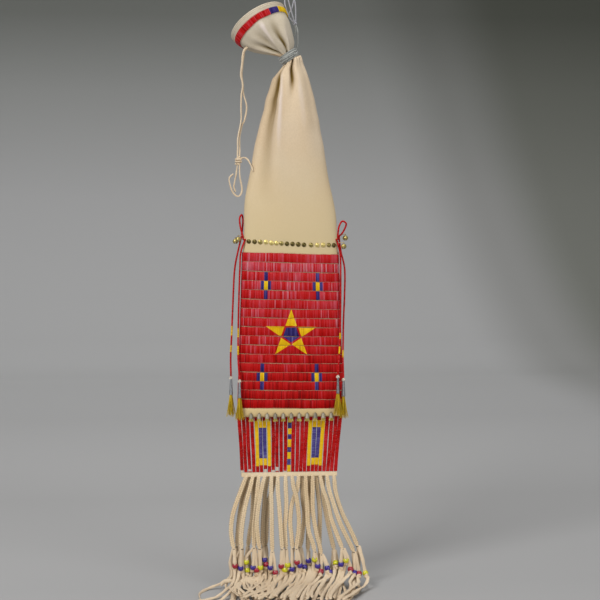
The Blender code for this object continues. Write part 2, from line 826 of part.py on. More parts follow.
def brass_spots(material):
    """A row of domed discs on the hide's front, held together by their sewing thread."""
    drop = HIDE_ROWS[-1][0] - SPOT_RISE
    reach = side_edge(drop) - SPOT_MARGIN
    base = SPOT_STAND
    places = []
    bm = bmesh.new()
    for i in range(SPOT_COUNT):
        x = reach * (2 * i / (SPOT_COUNT - 1) - 1)
        foot = front_point(drop, x, base)
        out = (front_point(drop, x, base + 0.001) - foot).normalized()
        across = out.cross(Vector((0, 0, -1))).normalized()
        up = out.cross(across)
        radius = SPOT_DIAMETER / 2
        profile = ((radius, 0), (radius * 0.55, SPOT_THICKNESS + SPOT_DOME))
        loft(bm, [circle(foot + out * h, across, up, r, 8) for r, h in profile])
        places.append(foot + out * (SPOT_THICKNESS * 0.6))
    row = add_object("brass_spots", bm, material)
    bm = bmesh.new()
    thread_tube(bm, places, SPOT_THREAD, 3)
    thread = add_object("spot_thread", bm, material)
    hide_helper(thread)
    boolean(row, "UNION", thread)
    return row


# Welt, slats and small tin cones


def welt_face(x):
    """The Y of the welt's front face at a place across."""
    ring = skin_ring(body_station(panel_drop(1)), WELT_OVERHANG)
    face = sorted((point.x, point.y) for point in ring if point.y < 0)
    for (left, near), (right, far) in zip(face, face[1:]):
        if left <= x <= right:
            return near + (far - near) * (x - left) / (right - left)
    return 0.0


def bottom_welt(material):
    """The folded hide strip that closes the foot of the bag."""
    foot = body_station(panel_drop(1))
    top_z = PANEL_FOOT - GAP
    edge = WELT_OVERHANG - WELT_ROUNDING
    rings = []
    for share, offset in ((0.0, edge), (0.12, WELT_OVERHANG), (0.88, WELT_OVERHANG), (1.0, edge)):
        centre = Vector((0, 0, top_z - WELT_HEIGHT * share))
        rings.append(skin_ring(foot._replace(centre=centre), offset))
    bm = bmesh.new()
    loft(bm, rings)
    return add_object("bottom_welt", bm, material)


def rawhide_slats(red, yellow, blue):
    """One piece of rawhide cut into bars between two rails, wrapped with coloured quills."""
    bars = len(SLAT_PATTERN)
    top_pitch = (2 * SLAT_TOP_HALF_WIDTH + SLAT_GAP) / bars
    foot_pitch = (2 * SLAT_FOOT_HALF_WIDTH + SLAT_GAP) / bars
    bm = bmesh.new()

    def edge_pair(bar, level):
        share = (SLAT_TOP - level) / (SLAT_TOP - SLAT_FOOT)
        pitch = top_pitch + (foot_pitch - top_pitch) * share
        start = bar * pitch - SLAT_TOP_HALF_WIDTH - (SLAT_FOOT_HALF_WIDTH - SLAT_TOP_HALF_WIDTH) * share
        return [bm.verts.new((x, SLAT_THICKNESS / 2, level)) for x in (start, start + pitch - SLAT_GAP)]

    rows = [[], [], [], []]
    for bar, fields in enumerate(SLAT_PATTERN):
        high = edge_pair(bar, SLAT_TOP - RAIL_HEIGHT)
        rows[0] += edge_pair(bar, SLAT_TOP)
        rows[1] += high
        for drop, colour in fields:
            low = edge_pair(bar, SLAT_TOP - drop)
            bm.faces.new((*high, low[1], low[0])).material_index = DYES.index(colour)
            high = low
        rows[2] += high
        rows[3] += edge_pair(bar, SLAT_FOOT)
    for high, low in (rows[:2], rows[2:]):
        for i in range(2 * bars - 1):
            bm.faces.new((high[i], high[i + 1], low[i + 1], low[i]))
    shifted = bmesh.ops.extrude_face_region(bm, geom=list(bm.faces))["geom"]
    moved = [item for item in shifted if isinstance(item, bmesh.types.BMVert)]
    bmesh.ops.translate(bm, vec=(0, -SLAT_THICKNESS, 0), verts=moved)
    bmesh.ops.recalc_face_normals(bm, faces=bm.faces)
    return add_object("rawhide_slats", bm, red, more=(yellow, blue))


def small_cone_places():
    """Hinge points of the small cones: the thong's exit at the welt, which each cone just clears."""
    z = PANEL_FOOT - GAP - SMALL_CONE_DROP
    share = (WELT_HEIGHT - SMALL_CONE_DROP) / SMALL_CONE_LENGTH
    stand = GAP + (SMALL_CONE_TOP + (SMALL_CONE_MOUTH - SMALL_CONE_TOP) * share) / 2
    first = -(SMALL_CONE_COUNT - 1) / 2
    across = [(first + i) * SMALL_CONE_PITCH for i in range(SMALL_CONE_COUNT)]
    return [Vector((x, welt_face(x) - stand, z)) for x in across]


def small_cones(material):
    """Tin cones with a tuft of hair in each mouth."""
    top, mouth = SMALL_CONE_TOP / 2, SMALL_CONE_MOUTH / 2
    end = -SMALL_CONE_LENGTH
    profile = (
        (top * 0.7, SMALL_CONE_STUB),
        (top * 0.7, 0.0),
        (top, 0.0),
        (mouth, end),
        (mouth * 0.8, end),
        (mouth * 0.9, end - SMALL_TUFT),
    )
    for index, place in enumerate(small_cone_places(), 1):
        bm = bmesh.new()
        turned(bm, profile, 6, place)
        add_object(f"small_cone_{index:02d}", bm, material, place)


# Pendants and bells


def cord_tube(name, material, diameter):
    """A round cord on a smooth curve through its route's points. Returns its last point."""
    route = [Vector(point) for point in ROUTES[name]]
    length = sum((b - a).length for a, b in zip(route, route[1:]))
    points = smooth_curve(route, max(5, round(length / (CORD_STEP * diameter)) + 1))
    curve = bpy.data.curves.new(name, "CURVE")
    curve.dimensions = "3D"
    curve.bevel_depth = diameter / 2
    curve.bevel_resolution = 2
    curve.use_fill_caps = True
    spline = curve.splines.new("POLY")
    spline.points.add(len(points) - 1)
    for place, point in zip(spline.points, points):
        place.co = (*point, 1.0)
    curve.materials.append(material)
    made = bpy.data.objects.new(name, curve)
    bpy.context.scene.collection.objects.link(made)
    return points[-1]


def tall_cone(name, material, top):
    """A knot, a tall tin cone and its tuft of hair, hanging under the end of a thong."""
    narrow, mouth = TALL_CONE_TOP / 2, TALL_CONE_MOUTH / 2
    knot = TALL_KNOT / 2
    start = -TALL_KNOT
    end = start - TALL_CONE_LENGTH
    tuft = TALL_TUFT_WIDTH / 2
    profile = (
        (knot * 0.6, 0.0),
        (knot, -knot),
        (narrow, start),
        (mouth, end),
        (mouth * 0.85, end),
        (tuft * 0.75, end - TALL_TUFT * 0.5),
        (tuft, end - TALL_TUFT),
    )
    bm = bmesh.new()
    turned(bm, profile, 8, top)
    return add_object(name, bm, material, top)


def pendants(thong, tin):
    for name in ("left_outer", "left_inner", "right_outer", "right_inner"):
        end = cord_tube(name + "_thong", thong, THONG_DIAMETER)
        tall_cone(name + "_cone", tin, end - Vector((0, 0, GAP)))


def bell_profile():
    """A round bell with a belt, under its shank."""
    radius, shank = BELL_DIAMETER / 2, BELL_SHANK / 2
    middle = BELL_LACE / 2 - BELL_SHANK - radius
    profile = [(shank, BELL_LACE / 2), (shank, BELL_LACE / 2 - BELL_SHANK)]
    for degrees in (58, 20, 0, -20, -60):
        angle = math.radians(degrees)
        reach = radius * (1.07 if degrees == 0 else math.cos(angle))
        profile.append((reach, middle + radius * math.sin(angle)))
    return profile


def hawk_bells(material):
    """Round slit bells, each on a level lace that ends beside a pendant's thong."""
    for name, (top, hold) in BELLS.items():
        place, hold = Vector(top), Vector(hold)
        profile = bell_profile()
        bm = bmesh.new()
        turned(bm, profile, 8, place)
        bell = add_object(name, bm, material, place)
        along = (hold - place).normalized()
        side = along.cross(Vector((0, 0, 1)))
        ends = (place, hold - along * (THONG_DIAMETER / 2 + 2 * GAP))
        bm = bmesh.new()
        loft(bm, [circle(end, side, Vector((0, 0, 1)), BELL_LACE / 2 * 0.8, 6) for end in ends])
        lace = add_object(name + "_lace", bm, material)
        hide_helper(lace)
        boolean(bell, "UNION", lace)
        low, deep, wide = place.z + profile[-1][1], BELL_DIAMETER / 4, BELL_DIAMETER * 0.4
        outline = box_outline(place.x, BELL_SLIT / 2, low + deep, low - deep)
        boolean(bell, "DIFFERENCE", prism(name + "_slit", outline, place.y - wide, place.y + wide))


# Hanging cord and drawstring


def knot_solid(name, material, place, width, height):
    """A plain round knot."""
    wide, high = width / 2, height / 2
    profile = ((wide * 0.75, -high), (wide, -high * 0.45), (wide, high * 0.45), (wide * 0.75, high))
    bm = bmesh.new()
    turned(bm, profile, 8, Vector(place))
    return add_object(name, bm, material)


def hanging_cord(material):
    """The cord that the bag hangs by: a loop at the top, a knot, and one run down to the tie."""
    cord_tube("hanging_loop", material, CORD_DIAMETER)
    cord_tube("hanging_cord", material, CORD_DIAMETER)
    place = (CORD_KNOT_SIDE, CORD_KNOT_BACK, -CORD_KNOT_DROP)
    knot_solid("hanging_knot", material, place, CORD_KNOT_DIAMETER, CORD_KNOT_DIAMETER)


def drawstring(material):
    """The thong drawn through the mouth: two strands, a knot and three ends below it."""
    for name in ("first_strand", "second_strand", "loop", "short_end", "tail"):
        cord_tube("drawstring_" + name, material, STRING_DIAMETER)
    knot_solid("drawstring_knot", material, STRING_KNOT_PLACE, STRING_KNOT_DIAMETER, STRING_KNOT_HEIGHT)


# Fringe


def band_y(front):
    """The Y of the middle of a fringe band."""
    stand = SLAT_THICKNESS / 2 + GAP + FRINGE_BAND_THICKNESS / 2
    return -stand if front else stand


def grow(bm, ring, path, widths, thicknesses, corners, side):
    """Extends a tube from a ring of vertices along a path, and returns its last ring and side."""
    last = len(path) - 1
    for i in range(1, len(path)):
        along = (path[min(i + 1, last)] - path[i - 1]).normalized()
        side = (side - along * side.dot(along)).normalized()
        deep = side.cross(along)
        fresh = []
        for across, out in corners:
            offset = side * (across * widths[i] / 2) + deep * (out * thicknesses[i] / 2)
            fresh.append(bm.verts.new(path[i] + offset))
        for j in range(len(ring)):
            bm.faces.new((ring[j - 1], ring[j], fresh[j], fresh[j - 1]))
        ring = fresh
    return ring, side


def fringe_band(bm, roots, y):
    """The uncut band, open at each root. Returns the six vertices round each root."""
    half, thick, root_half = SLAT_FOOT_HALF_WIDTH, FRINGE_BAND_THICKNESS / 2, BRAID_WIDTH * 0.36
    places = [-half]
    for root in roots:
        places += [root - root_half, root, root + root_half]
    places.append(half)
    grid = {}
    for depth in (-thick, thick):
        for level in (BAND_TOP, BAND_FOOT):
            grid[depth, level] = [bm.verts.new((x, y + depth, level)) for x in places]
    near_top, near_foot = grid[-thick, BAND_TOP], grid[-thick, BAND_FOOT]
    far_top, far_foot = grid[thick, BAND_TOP], grid[thick, BAND_FOOT]
    for i in range(len(places) - 1):
        bm.faces.new((near_top[i], near_top[i + 1], near_foot[i + 1], near_foot[i]))
        bm.faces.new((far_top[i], far_top[i + 1], far_foot[i + 1], far_foot[i]))
        bm.faces.new((near_top[i], near_top[i + 1], far_top[i + 1], far_top[i]))
        if i % 3 == 0:
            bm.faces.new((near_foot[i], near_foot[i + 1], far_foot[i + 1], far_foot[i]))
    for i in (0, -1):
        bm.faces.new((near_top[i], near_foot[i], far_foot[i], far_top[i]))
    starts = range(1, 3 * len(roots), 3)
    return [[*near_foot[i : i + 3], *reversed(far_foot[i : i + 3])] for i in starts]


def braid_path(index, root, end, front):
    """The middle line of one braid, from the band to its tied end."""
    bow = (-1 if front else 1) * BRAID_BOW * (1 + index % 2)
    y = band_y(front)
    drift = end - root
    points = (
        (root, y, BAND_FOOT),
        (root + drift * 0.10, y + bow * 0.35, BAND_FOOT - BRAID_LENGTH * 0.18),
        (root + drift * 0.60, y + bow * 0.90, BAND_FOOT - BRAID_LENGTH * 0.65),
        (root + drift * 0.97, y + bow, BRAID_FOOT + BRAID_LENGTH * 0.03),
        (end, y + bow, BRAID_FOOT),
    )
    return [Vector(point) for point in points]


def front_tail_path(number, start):
    """A front loose end: down through its bead, then forwards along the surface."""
    x, height, _ = BEADS[number]
    rest = SURFACE_Z + TAIL_THICKNESS / 2
    level = rest + TAIL_LAYER * (number % 3)
    beside, bent, landed = FRONT_TAIL_STEPS
    share = number / (len(BEADS) - 1)
    reach = TAIL_REACH * (0.78 + 0.22 * math.sin(2.4 * number + 0.6))
    end = (TAIL_SPREAD_LEFT + (TAIL_SPREAD_RIGHT - TAIL_SPREAD_LEFT) * share, -reach)
    at_bead = Vector((x, start.y - beside, SURFACE_Z + height))
    knee = Vector((x + 0.12 * (end[0] - x), start.y - bent, SURFACE_Z + height * 0.35))
    if number in LONG_TAILS:
        ground = [Vector((*place, rest)) for place in LONG_TAILS[number]]
        knee.x = x + 0.2 * (ground[0].x - x)
    else:
        land = Vector((x + 0.3 * (end[0] - x), start.y - landed, level + TAIL_LIFT))
        middle = land.lerp(Vector((*end, level)), 0.55) + Vector((TAIL_WANDER * math.sin(1.7 * number), 0, 0))
        ground = [land, middle, Vector((*end, level))]
    return [start, at_bead, knee, *ground]


def back_tail_path(number, start):
    """A back loose end: down, then backwards along the surface."""
    rest = SURFACE_Z + TAIL_THICKNESS / 2
    reach = BACK_TAIL_REACH * (0.8 + 0.2 * math.sin(1.9 * number))
    bent, landed = BACK_TAIL_STEPS
    knee = Vector((start.x * 1.03, start.y + bent, SURFACE_Z + TAIL_DROP * 0.35))
    land = Vector((start.x * 1.08, start.y + landed, rest + TAIL_LIFT))
    return [start, knee, land, Vector((start.x * 1.25, start.y + reach, rest))]


def tail_widths(path, beaded):
    """The path with a bead's rings added to it, and the widths and thicknesses along it."""
    count = len(path)
    if not beaded:
        return path, [TAIL_WIDTH] * count, [TAIL_THICKNESS] * count
    along = (path[2] - path[0]).normalized() * (BEAD_HEIGHT / 2)
    shoulder = BEAD_DIAMETER * 0.8
    at = path[1]
    made = [path[0], at - along, at - along * 0.95, at, at + along * 0.95, at + along, *path[2:]]
    rest = len(made) - 6
    sizes = [TAIL_WIDTH, TAIL_WIDTH, shoulder, BEAD_DIAMETER, shoulder, TAIL_WIDTH]
    thick = [TAIL_THICKNESS, TAIL_THICKNESS, shoulder, BEAD_DIAMETER, shoulder, TAIL_THICKNESS]
    return made, sizes + [TAIL_WIDTH] * rest, thick + [TAIL_THICKNESS] * rest


def fringe(name, materials, braids, front):
    """A hide band cut into braided thongs, each ending in two loose ends that lie on the surface.

    The beads on the front loose ends are part of it.
    """
    square = ((-1, -1), (1, -1), (1, 1), (-1, 1))
    six = ((-1, -0.55), (0, -1), (1, -0.55), (1, 0.55), (0, 1), (-1, 0.55))
    swell = (0.7, 1.0, 1.0, 0.55, 0.75)
    bm = bmesh.new()
    roots = fringe_band(bm, [root for root, _ in braids], band_y(front))
    for index, ((root, end), ring) in enumerate(zip(braids, roots)):
        path = braid_path(index, root, end, front)
        widths = [BRAID_WIDTH * share for share in swell]
        deeps = [BRAID_THICKNESS * share for share in swell]
        ring, side = grow(bm, ring, path, widths, deeps, six, Vector((1, 0, 0)))
        for half in (0, 1):
            number = 2 * index + half
            corners = (ring[0], ring[1], ring[4], ring[5]) if half == 0 else ring[1:5]
            start = sum((corner.co for corner in corners), Vector()) / 4
            route = front_tail_path(number, start) if front else back_tail_path(number, start)
            route, wide, deep = tail_widths(route, front)
            before = len(bm.faces)
            last, _ = grow(bm, list(corners), route, wide, deep, square, side)
            if front:
                for face in list(bm.faces)[before + 4 : before + 20]:
                    face.material_index = 1 + DYES.index(BEADS[number][2])
            bm.faces.new(last)
    bmesh.ops.recalc_face_normals(bm, faces=bm.faces)
    return add_object(name, bm, materials[0], more=materials[1:])


def build():
    clear_scene()
    hide = finish("hide", (0.62, 0.47, 0.29), 0.85)
    thong = finish("hide_thong", (0.68, 0.55, 0.38), 0.85)
    red = finish("red_quill", (0.42, 0.02, 0.03), 0.45)
    yellow = finish("yellow_quill", (0.78, 0.52, 0.03), 0.45)
    blue = finish("blue_quill", (0.06, 0.05, 0.22), 0.45)
    brass = finish("brass", (0.45, 0.34, 0.10), 0.35, 1.0)
    tin = finish("tin", (0.35, 0.37, 0.38), 0.4, 0.9)
    yarn = finish("grey_yarn", (0.30, 0.32, 0.27), 0.9)
    hide_bag(hide)
    mouth_band("mouth_band_yellow", yellow, YELLOW_START, YELLOW_END)
    mouth_band("mouth_band_blue", blue, BLUE_START, YELLOW_START)
    mouth_band("mouth_band_red", red, YELLOW_END - 360, BLUE_START)
    neck_tie(yarn)
    quill_panels(red, yellow, blue)
    brass_spots(brass)
    bottom_welt(hide)
    rawhide_slats(red, yellow, blue)
    small_cones(tin)
    pendants(red, tin)
    hawk_bells(brass)
    hanging_cord(yarn)
    drawstring(thong)
    fringe("fringe_front", (thong, red, yellow, blue), FRONT_BRAIDS, True)
    fringe("fringe_back", (thong,), BACK_BRAIDS, False)


build()
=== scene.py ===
"""Looks of the quillwork pipe bag: its hide, quills, brass, tin, hair, beads and braided fringe."""

import math
import random

import bmesh
import bpy
import numpy as np
from mathutils import Matrix, Vector


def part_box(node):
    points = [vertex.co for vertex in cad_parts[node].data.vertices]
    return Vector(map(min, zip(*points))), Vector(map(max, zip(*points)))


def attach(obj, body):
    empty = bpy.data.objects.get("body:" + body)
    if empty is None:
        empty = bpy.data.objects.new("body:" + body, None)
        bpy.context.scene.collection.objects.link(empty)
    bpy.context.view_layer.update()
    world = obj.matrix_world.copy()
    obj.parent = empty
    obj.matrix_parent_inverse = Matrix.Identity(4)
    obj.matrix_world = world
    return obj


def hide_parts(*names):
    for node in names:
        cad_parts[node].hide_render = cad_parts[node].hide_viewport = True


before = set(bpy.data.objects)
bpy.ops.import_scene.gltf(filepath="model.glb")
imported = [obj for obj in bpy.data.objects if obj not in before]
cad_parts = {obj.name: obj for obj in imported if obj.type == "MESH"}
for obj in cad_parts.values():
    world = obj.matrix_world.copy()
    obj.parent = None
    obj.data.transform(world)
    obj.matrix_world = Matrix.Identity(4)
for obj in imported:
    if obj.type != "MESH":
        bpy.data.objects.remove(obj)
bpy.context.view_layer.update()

FLOOR_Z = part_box("fringe_front")[0].z
UP = np.array((0.0, 0.0, 1.0))
MM = 0.001


# Camera, floor and light: the photograph's camera, in metres and degrees

PHOTO_LENS = 1607 / 600
CAMERA_TURN, CAMERA_TILT = -5, 3.3
CAMERA_AWAY, CAMERA_ASIDE, CAMERA_Z = 2.6, 0.0154, -0.351
CAMERA_FRONT = 2.59


def plain_floor():
    """A pale floor that rises into a grey backdrop well behind the bag, with light and shade painted on it.
    """
    bm = blank()
    grid = bmesh.ops.create_grid(bm, x_segments=1, y_segments=160, size=1)["verts"]
    front, wall, bend, top = -9.0, 4.4, 1.1, 6.6
    run = (wall - front - bend) + bend * math.pi / 2 + top
    layer = bm.verts.layers.float["tone"]
    for vert in grid:
        far = (vert.co.y + 1) / 2 * run
        level = wall - front - bend
        if far <= level:
            y, z = front + far, 0.0
        elif far <= level + bend * math.pi / 2:
            angle = (far - level) / bend
            y, z = wall - bend + bend * math.sin(angle), bend * (1 - math.cos(angle))
        else:
            y, z = wall, bend + far - level - bend * math.pi / 2
        vert.co = (vert.co.x * 9.0, y, z + FLOOR_Z)
        # The place of the grey on the sweep: the slope of the line from the photograph's camera
        vert[layer] = ((z + FLOOR_Z - CAMERA_Z) / max(y + CAMERA_FRONT, 0.3) + 0.25) * 2
    mesh = bpy.data.meshes.new("studio_sweep")
    bm.to_mesh(mesh)
    bm.free()
    mesh.shade_smooth()
    made, shader = finish("studio_grey_painted_shade", (0.5, 0.5, 0.5), 0.9)
    mesh.materials.append(made)
    tree = made.node_tree
    place = tree.nodes.new("ShaderNodeTexCoord")
    split = tree.nodes.new("ShaderNodeSeparateXYZ")
    tree.links.new(place.outputs["Object"], split.inputs[0])
    # Painted light and shade on the sweep: darker on the near floor, brightest on the far floor where it
    # bends up, darker again up the wall
    grey = (
        (0.024, (0.39, 0.387, 0.385)), (0.136, (0.45, 0.447, 0.445)), (0.237, (0.66, 0.657, 0.657)),
        (0.285, (0.87, 0.87, 0.87)), (0.335, (0.75, 0.75, 0.75)), (0.39, (0.70, 0.70, 0.70)),
        (0.511, (0.615, 0.615, 0.615)), (0.645, (0.43, 0.436, 0.424)), (0.737, (0.243, 0.251, 0.232)),
        (0.907, (0.175, 0.183, 0.158))
    )
    shade = ramp(tree, painted(tree, "tone"), grey)
    # Painted shadow across the backdrop, darker towards the right and higher up
    aside = worked(
        tree, "ADD", worked(tree, "MULTIPLY", split.outputs["X"], 0.678),
        worked(tree, "MULTIPLY", split.outputs["Z"], 0.19)
    )
    painted_diagonal_shade = ramp(
        tree, aside, ((0.518, (1, 1, 1)), (0.752, (0.73, 0.73, 0.71)), (0.968, (0.48, 0.49, 0.44))), "EASE"
    )
    tree.links.new(mixed(tree, 1.0, shade, painted_diagonal_shade, "MULTIPLY"), shader.inputs["Base Color"])
    sweep = bpy.data.objects.new("studio_sweep", mesh)
    bpy.context.scene.collection.objects.link(sweep)


def soft_lamp(name, place, aim, size, power):
    """A white rectangle of light at a place, turned to what it aims at."""
    lamp = bpy.data.lights.new(name, "AREA")
    lamp.shape, lamp.size, lamp.size_y, lamp.energy = "RECTANGLE", size[0], size[1], power
    obj = bpy.data.objects.new(name, lamp)
    obj.location = place
    obj.rotation_euler = (Vector(aim) - Vector(place)).to_track_quat("-Z", "Y").to_euler()
    bpy.context.scene.collection.objects.link(obj)


def studio():
    """The camera of the photograph, the sweep behind the bag and three soft lamps."""
    scene = bpy.context.scene
    scene.view_settings.view_transform = "Standard"
    turn = math.radians(CAMERA_TURN)
    back = Vector((math.sin(turn), -math.cos(turn), 0))
    right = Vector((math.cos(turn), math.sin(turn), 0))
    lens = bpy.data.cameras.new("camera")
    lens.sensor_width = 36
    lens.lens = 36 * PHOTO_LENS
    camera = bpy.data.objects.new("camera", lens)
    camera.location = back * CAMERA_AWAY + right * CAMERA_ASIDE + Vector((0, 0, CAMERA_Z))
    camera.rotation_euler = (math.pi / 2 - math.radians(CAMERA_TILT), 0, turn)
    scene.collection.objects.link(camera)
    scene.camera = camera
    plain_floor()
    world = bpy.data.worlds.new("studio")
    world.use_nodes = True
    world.node_tree.nodes["Background"].inputs["Color"].default_value = (1, 1, 1, 1)
    world.node_tree.nodes["Background"].inputs["Strength"].default_value = 0.25
    scene.world = world
    middle = (0, 0, -0.45)
    soft_lamp("key", (-1.7, -2.1, 1.2), middle, (1.3, 1.3), 66)
    soft_lamp("fill", (1.9, -2.3, 0.1), middle, (1.6, 2.0), 29)
    soft_lamp("top", (0.1, 0.1, 2.2), middle, (1.6, 1.6), 34)


# Finishes


def finish(name, colour, roughness, metallic=0.0):
    """A new material and its shader, with the values that are the same all over."""
    made = bpy.data.materials.new(name)
    made.use_nodes = True
    shader = made.node_tree.nodes["Principled BSDF"]
    shader.inputs["Base Color"].default_value = (*colour, 1)
    shader.inputs["Roughness"].default_value = roughness
    shader.inputs["Metallic"].default_value = metallic
    return made, shader


def ramp(tree, source, stops, interpolation="LINEAR"):
    """Colours along a value, from (place, colour) pairs."""
    made = tree.nodes.new("ShaderNodeValToRGB")
    made.color_ramp.interpolation = interpolation
    bar = made.color_ramp.elements
    while len(bar) < len(stops):
        bar.new(0.5)
    for element, (place, colour) in zip(bar, stops):
        element.position = place
        element.color = (*colour, 1)
    tree.links.new(source, made.inputs[0])
    return made.outputs[0]


def speckle(tree, scale, stretch=(1, 1, 1), detail=3.0, roughness=0.5):
    """Noise on the piece's own place, stretched along its axes."""
    place = tree.nodes.new("ShaderNodeTexCoord")
    mapping = tree.nodes.new("ShaderNodeMapping")
    mapping.inputs["Scale"].default_value = stretch
    noise = tree.nodes.new("ShaderNodeTexNoise")
    noise.inputs["Scale"].default_value = scale
    noise.inputs["Detail"].default_value = detail
    noise.inputs["Roughness"].default_value = roughness
    tree.links.new(place.outputs["Object"], mapping.inputs["Vector"])
    tree.links.new(mapping.outputs[0], noise.inputs["Vector"])
    return noise.outputs["Fac"]


def painted(tree, name):
    """A value painted on the piece's own points."""
    made = tree.nodes.new("ShaderNodeAttribute")
    made.attribute_name = name
    return made.outputs["Fac"]


def mixed(tree, share, first, second, how="MIX"):
    """Two colours mixed by a share, each a socket or a colour."""
    made = tree.nodes.new("ShaderNodeMix")
    made.data_type = "RGBA"
    made.blend_type = how
    colours = [s for s in made.inputs if s.type == "RGBA"]
    factor = next(s for s in made.inputs if s.type == "VALUE" and s.enabled)
    for socket, value in ((factor, share), (colours[0], first), (colours[1], second)):
        if isinstance(value, bpy.types.NodeSocket):
            tree.links.new(value, socket)
        elif isinstance(value, tuple):
            socket.default_value = (*value, 1)
        else:
            socket.default_value = value
    return next(s for s in made.outputs if s.type == "RGBA")


def worked(tree, how, first, second):
    """Arithmetic on two values, each a socket or a number."""
    made = tree.nodes.new("ShaderNodeMath")
    made.operation = how
    for socket, value in zip(made.inputs, (first, second)):
        if isinstance(value, bpy.types.NodeSocket):
            tree.links.new(value, socket)
        else:
            socket.default_value = value
    return made.outputs[0]


def spanned(tree, value, low, high):
    """A value between 0 and 1 spread from low to high."""
    made = tree.nodes.new("ShaderNodeMapRange")
    made.inputs["To Min"].default_value = low
    made.inputs["To Max"].default_value = high
    tree.links.new(value, made.inputs["Value"])
    return made.outputs[0]


def raised(tree, shader, height, strength, distance):
    """Bumps on a shader, from a value that is their height."""
    bump = tree.nodes.new("ShaderNodeBump")
    bump.inputs["Strength"].default_value = strength
    bump.inputs["Distance"].default_value = distance
    tree.links.new(height, bump.inputs["Height"])
    tree.links.new(bump.outputs[0], shader.inputs["Normal"])


def suede(name, pale, warm, grain_and_crease_shade, nap=0.35, foot=None):
    """Brain-tanned hide: clouded colour and fine nap, with a painted highlight on ridges and painted shade in
    creases, both carried by the tone.
    """
    made, shader = finish(name, pale, 0.9)
    tree = made.node_tree
    cloud = ramp(tree, speckle(tree, 14, (1, 1, 0.6), 5), ((0.32, pale), (0.68, warm)))
    fine = speckle(tree, 420, (1, 1, 0.8), 4, 0.6)
    dusted = mixed(tree, 0.10, cloud, ramp(tree, fine, ((0.3, grain_and_crease_shade), (0.7, pale))))
    # Painted highlight: a negative tone mixes in a pale colour, where the pieces paint light on ridges
    worn = mixed(tree, worked(tree, "MULTIPLY", painted(tree, "tone"), -3.0), dusted, (0.72, 0.62, 0.57))
    if foot:
        place = tree.nodes.new("ShaderNodeTexCoord")
        split = tree.nodes.new("ShaderNodeSeparateXYZ")
        tree.links.new(place.outputs["Object"], split.inputs[0])
        height = tree.nodes.new("ShaderNodeMapRange")
        height.inputs["From Min"].default_value = -0.24
        height.inputs["From Max"].default_value = -0.42
        tree.links.new(split.outputs["Z"], height.inputs["Value"])
        worn = mixed(tree, height.outputs[0], worn, foot)
    # Painted shade: a positive tone mixes in the dark crease colour; the pieces put it in creases, hollows
    # and where strands pass under, and a little at random
    folded = mixed(tree, painted(tree, "tone"), worn, grain_and_crease_shade)
    tree.links.new(folded, shader.inputs["Base Color"])
    tree.links.new(spanned(tree, fine, 0.78, 0.98), shader.inputs["Roughness"])
    shader.inputs["Sheen Weight"].default_value = 0.12
    shader.inputs["Sheen Roughness"].default_value = 0.5
    shader.inputs["Specular IOR Level"].default_value = 0.2
    raised(tree, shader, worked(tree, "ADD", fine, speckle(tree, 60, (1, 1, 0.5), 3)), nap, 0.0006)
    return made


def quill(name, stops, gloss=0.42):
    """Dyed quill: a tone for each quill, streaks along it and a soft shine."""
    made, shader = finish(name, stops[1][1], gloss)
    tree = made.node_tree
    streak = speckle(tree, 900, (1, 1, 0.06), 4, 0.65)
    patch = speckle(tree, 30, (1, 1, 1), 2)
    value = worked(
        tree, "ADD", painted(tree, "tone"),
        worked(tree, "MULTIPLY", worked(tree, "SUBTRACT", streak, 0.5), 0.55)
    )
    value = worked(tree, "ADD", value, worked(tree, "MULTIPLY", worked(tree, "SUBTRACT", patch, 0.5), 0.25))
    tree.links.new(ramp(tree, value, stops), shader.inputs["Base Color"])
    tree.links.new(spanned(tree, streak, gloss - 0.08, gloss + 0.16), shader.inputs["Roughness"])
    shader.inputs["Specular IOR Level"].default_value = 0.12
    raised(tree, shader, streak, 0.3, 0.0003)
    return made


def old_metal(name, dark, bright, low, high):
    """Aged metal: a tone for each piece, with tarnish in patches."""
    made, shader = finish(name, bright, 0.4, 1.0)
    tree = made.node_tree
    patch = speckle(tree, 380, (1, 1, 1), 4, 0.6)
    value = worked(
        tree, "ADD", painted(tree, "tone"),
        worked(tree, "MULTIPLY", worked(tree, "SUBTRACT", patch, 0.5), 0.9)
    )
    tree.links.new(ramp(tree, value, ((0.15, dark), (0.85, bright))), shader.inputs["Base Color"])
    tree.links.new(spanned(tree, patch, low, high), shader.inputs["Roughness"])
    raised(tree, shader, patch, 0.25, 0.0004)
    return made


def fibre(name, dark, pale, stretch, sheen=0.3, roughness=0.75):
    """Yarn or hair: a tone for each strand and fine streaks."""
    made, shader = finish(name, pale, roughness)
    tree = made.node_tree
    streak = speckle(tree, 700, stretch, 4, 0.6)
    value = worked(
        tree, "ADD", painted(tree, "tone"),
        worked(tree, "MULTIPLY", worked(tree, "SUBTRACT", streak, 0.5), 0.7)
    )
    tree.links.new(ramp(tree, value, ((0.1, dark), (0.8, pale))), shader.inputs["Base Color"])
    shader.inputs["Sheen Weight"].default_value = sheen
    raised(tree, shader, streak, 0.5, 0.0005)
    return made


def glass_bead(name, deep, bright):
    """Opaque glass: a deep colour with faint swirls under a hard shine."""
    made, shader = finish(name, bright, 0.12)
    tree = made.node_tree
    swirl = speckle(tree, 260, (1, 1, 2.2), 3)
    tree.links.new(ramp(tree, swirl, ((0.3, deep), (0.7, bright))), shader.inputs["Base Color"])
    tree.links.new(spanned(tree, swirl, 0.08, 0.24), shader.inputs["Roughness"])
    shader.inputs["Coat Weight"].default_value = 0.4
    shader.inputs["Coat Roughness"].default_value = 0.08
    return made


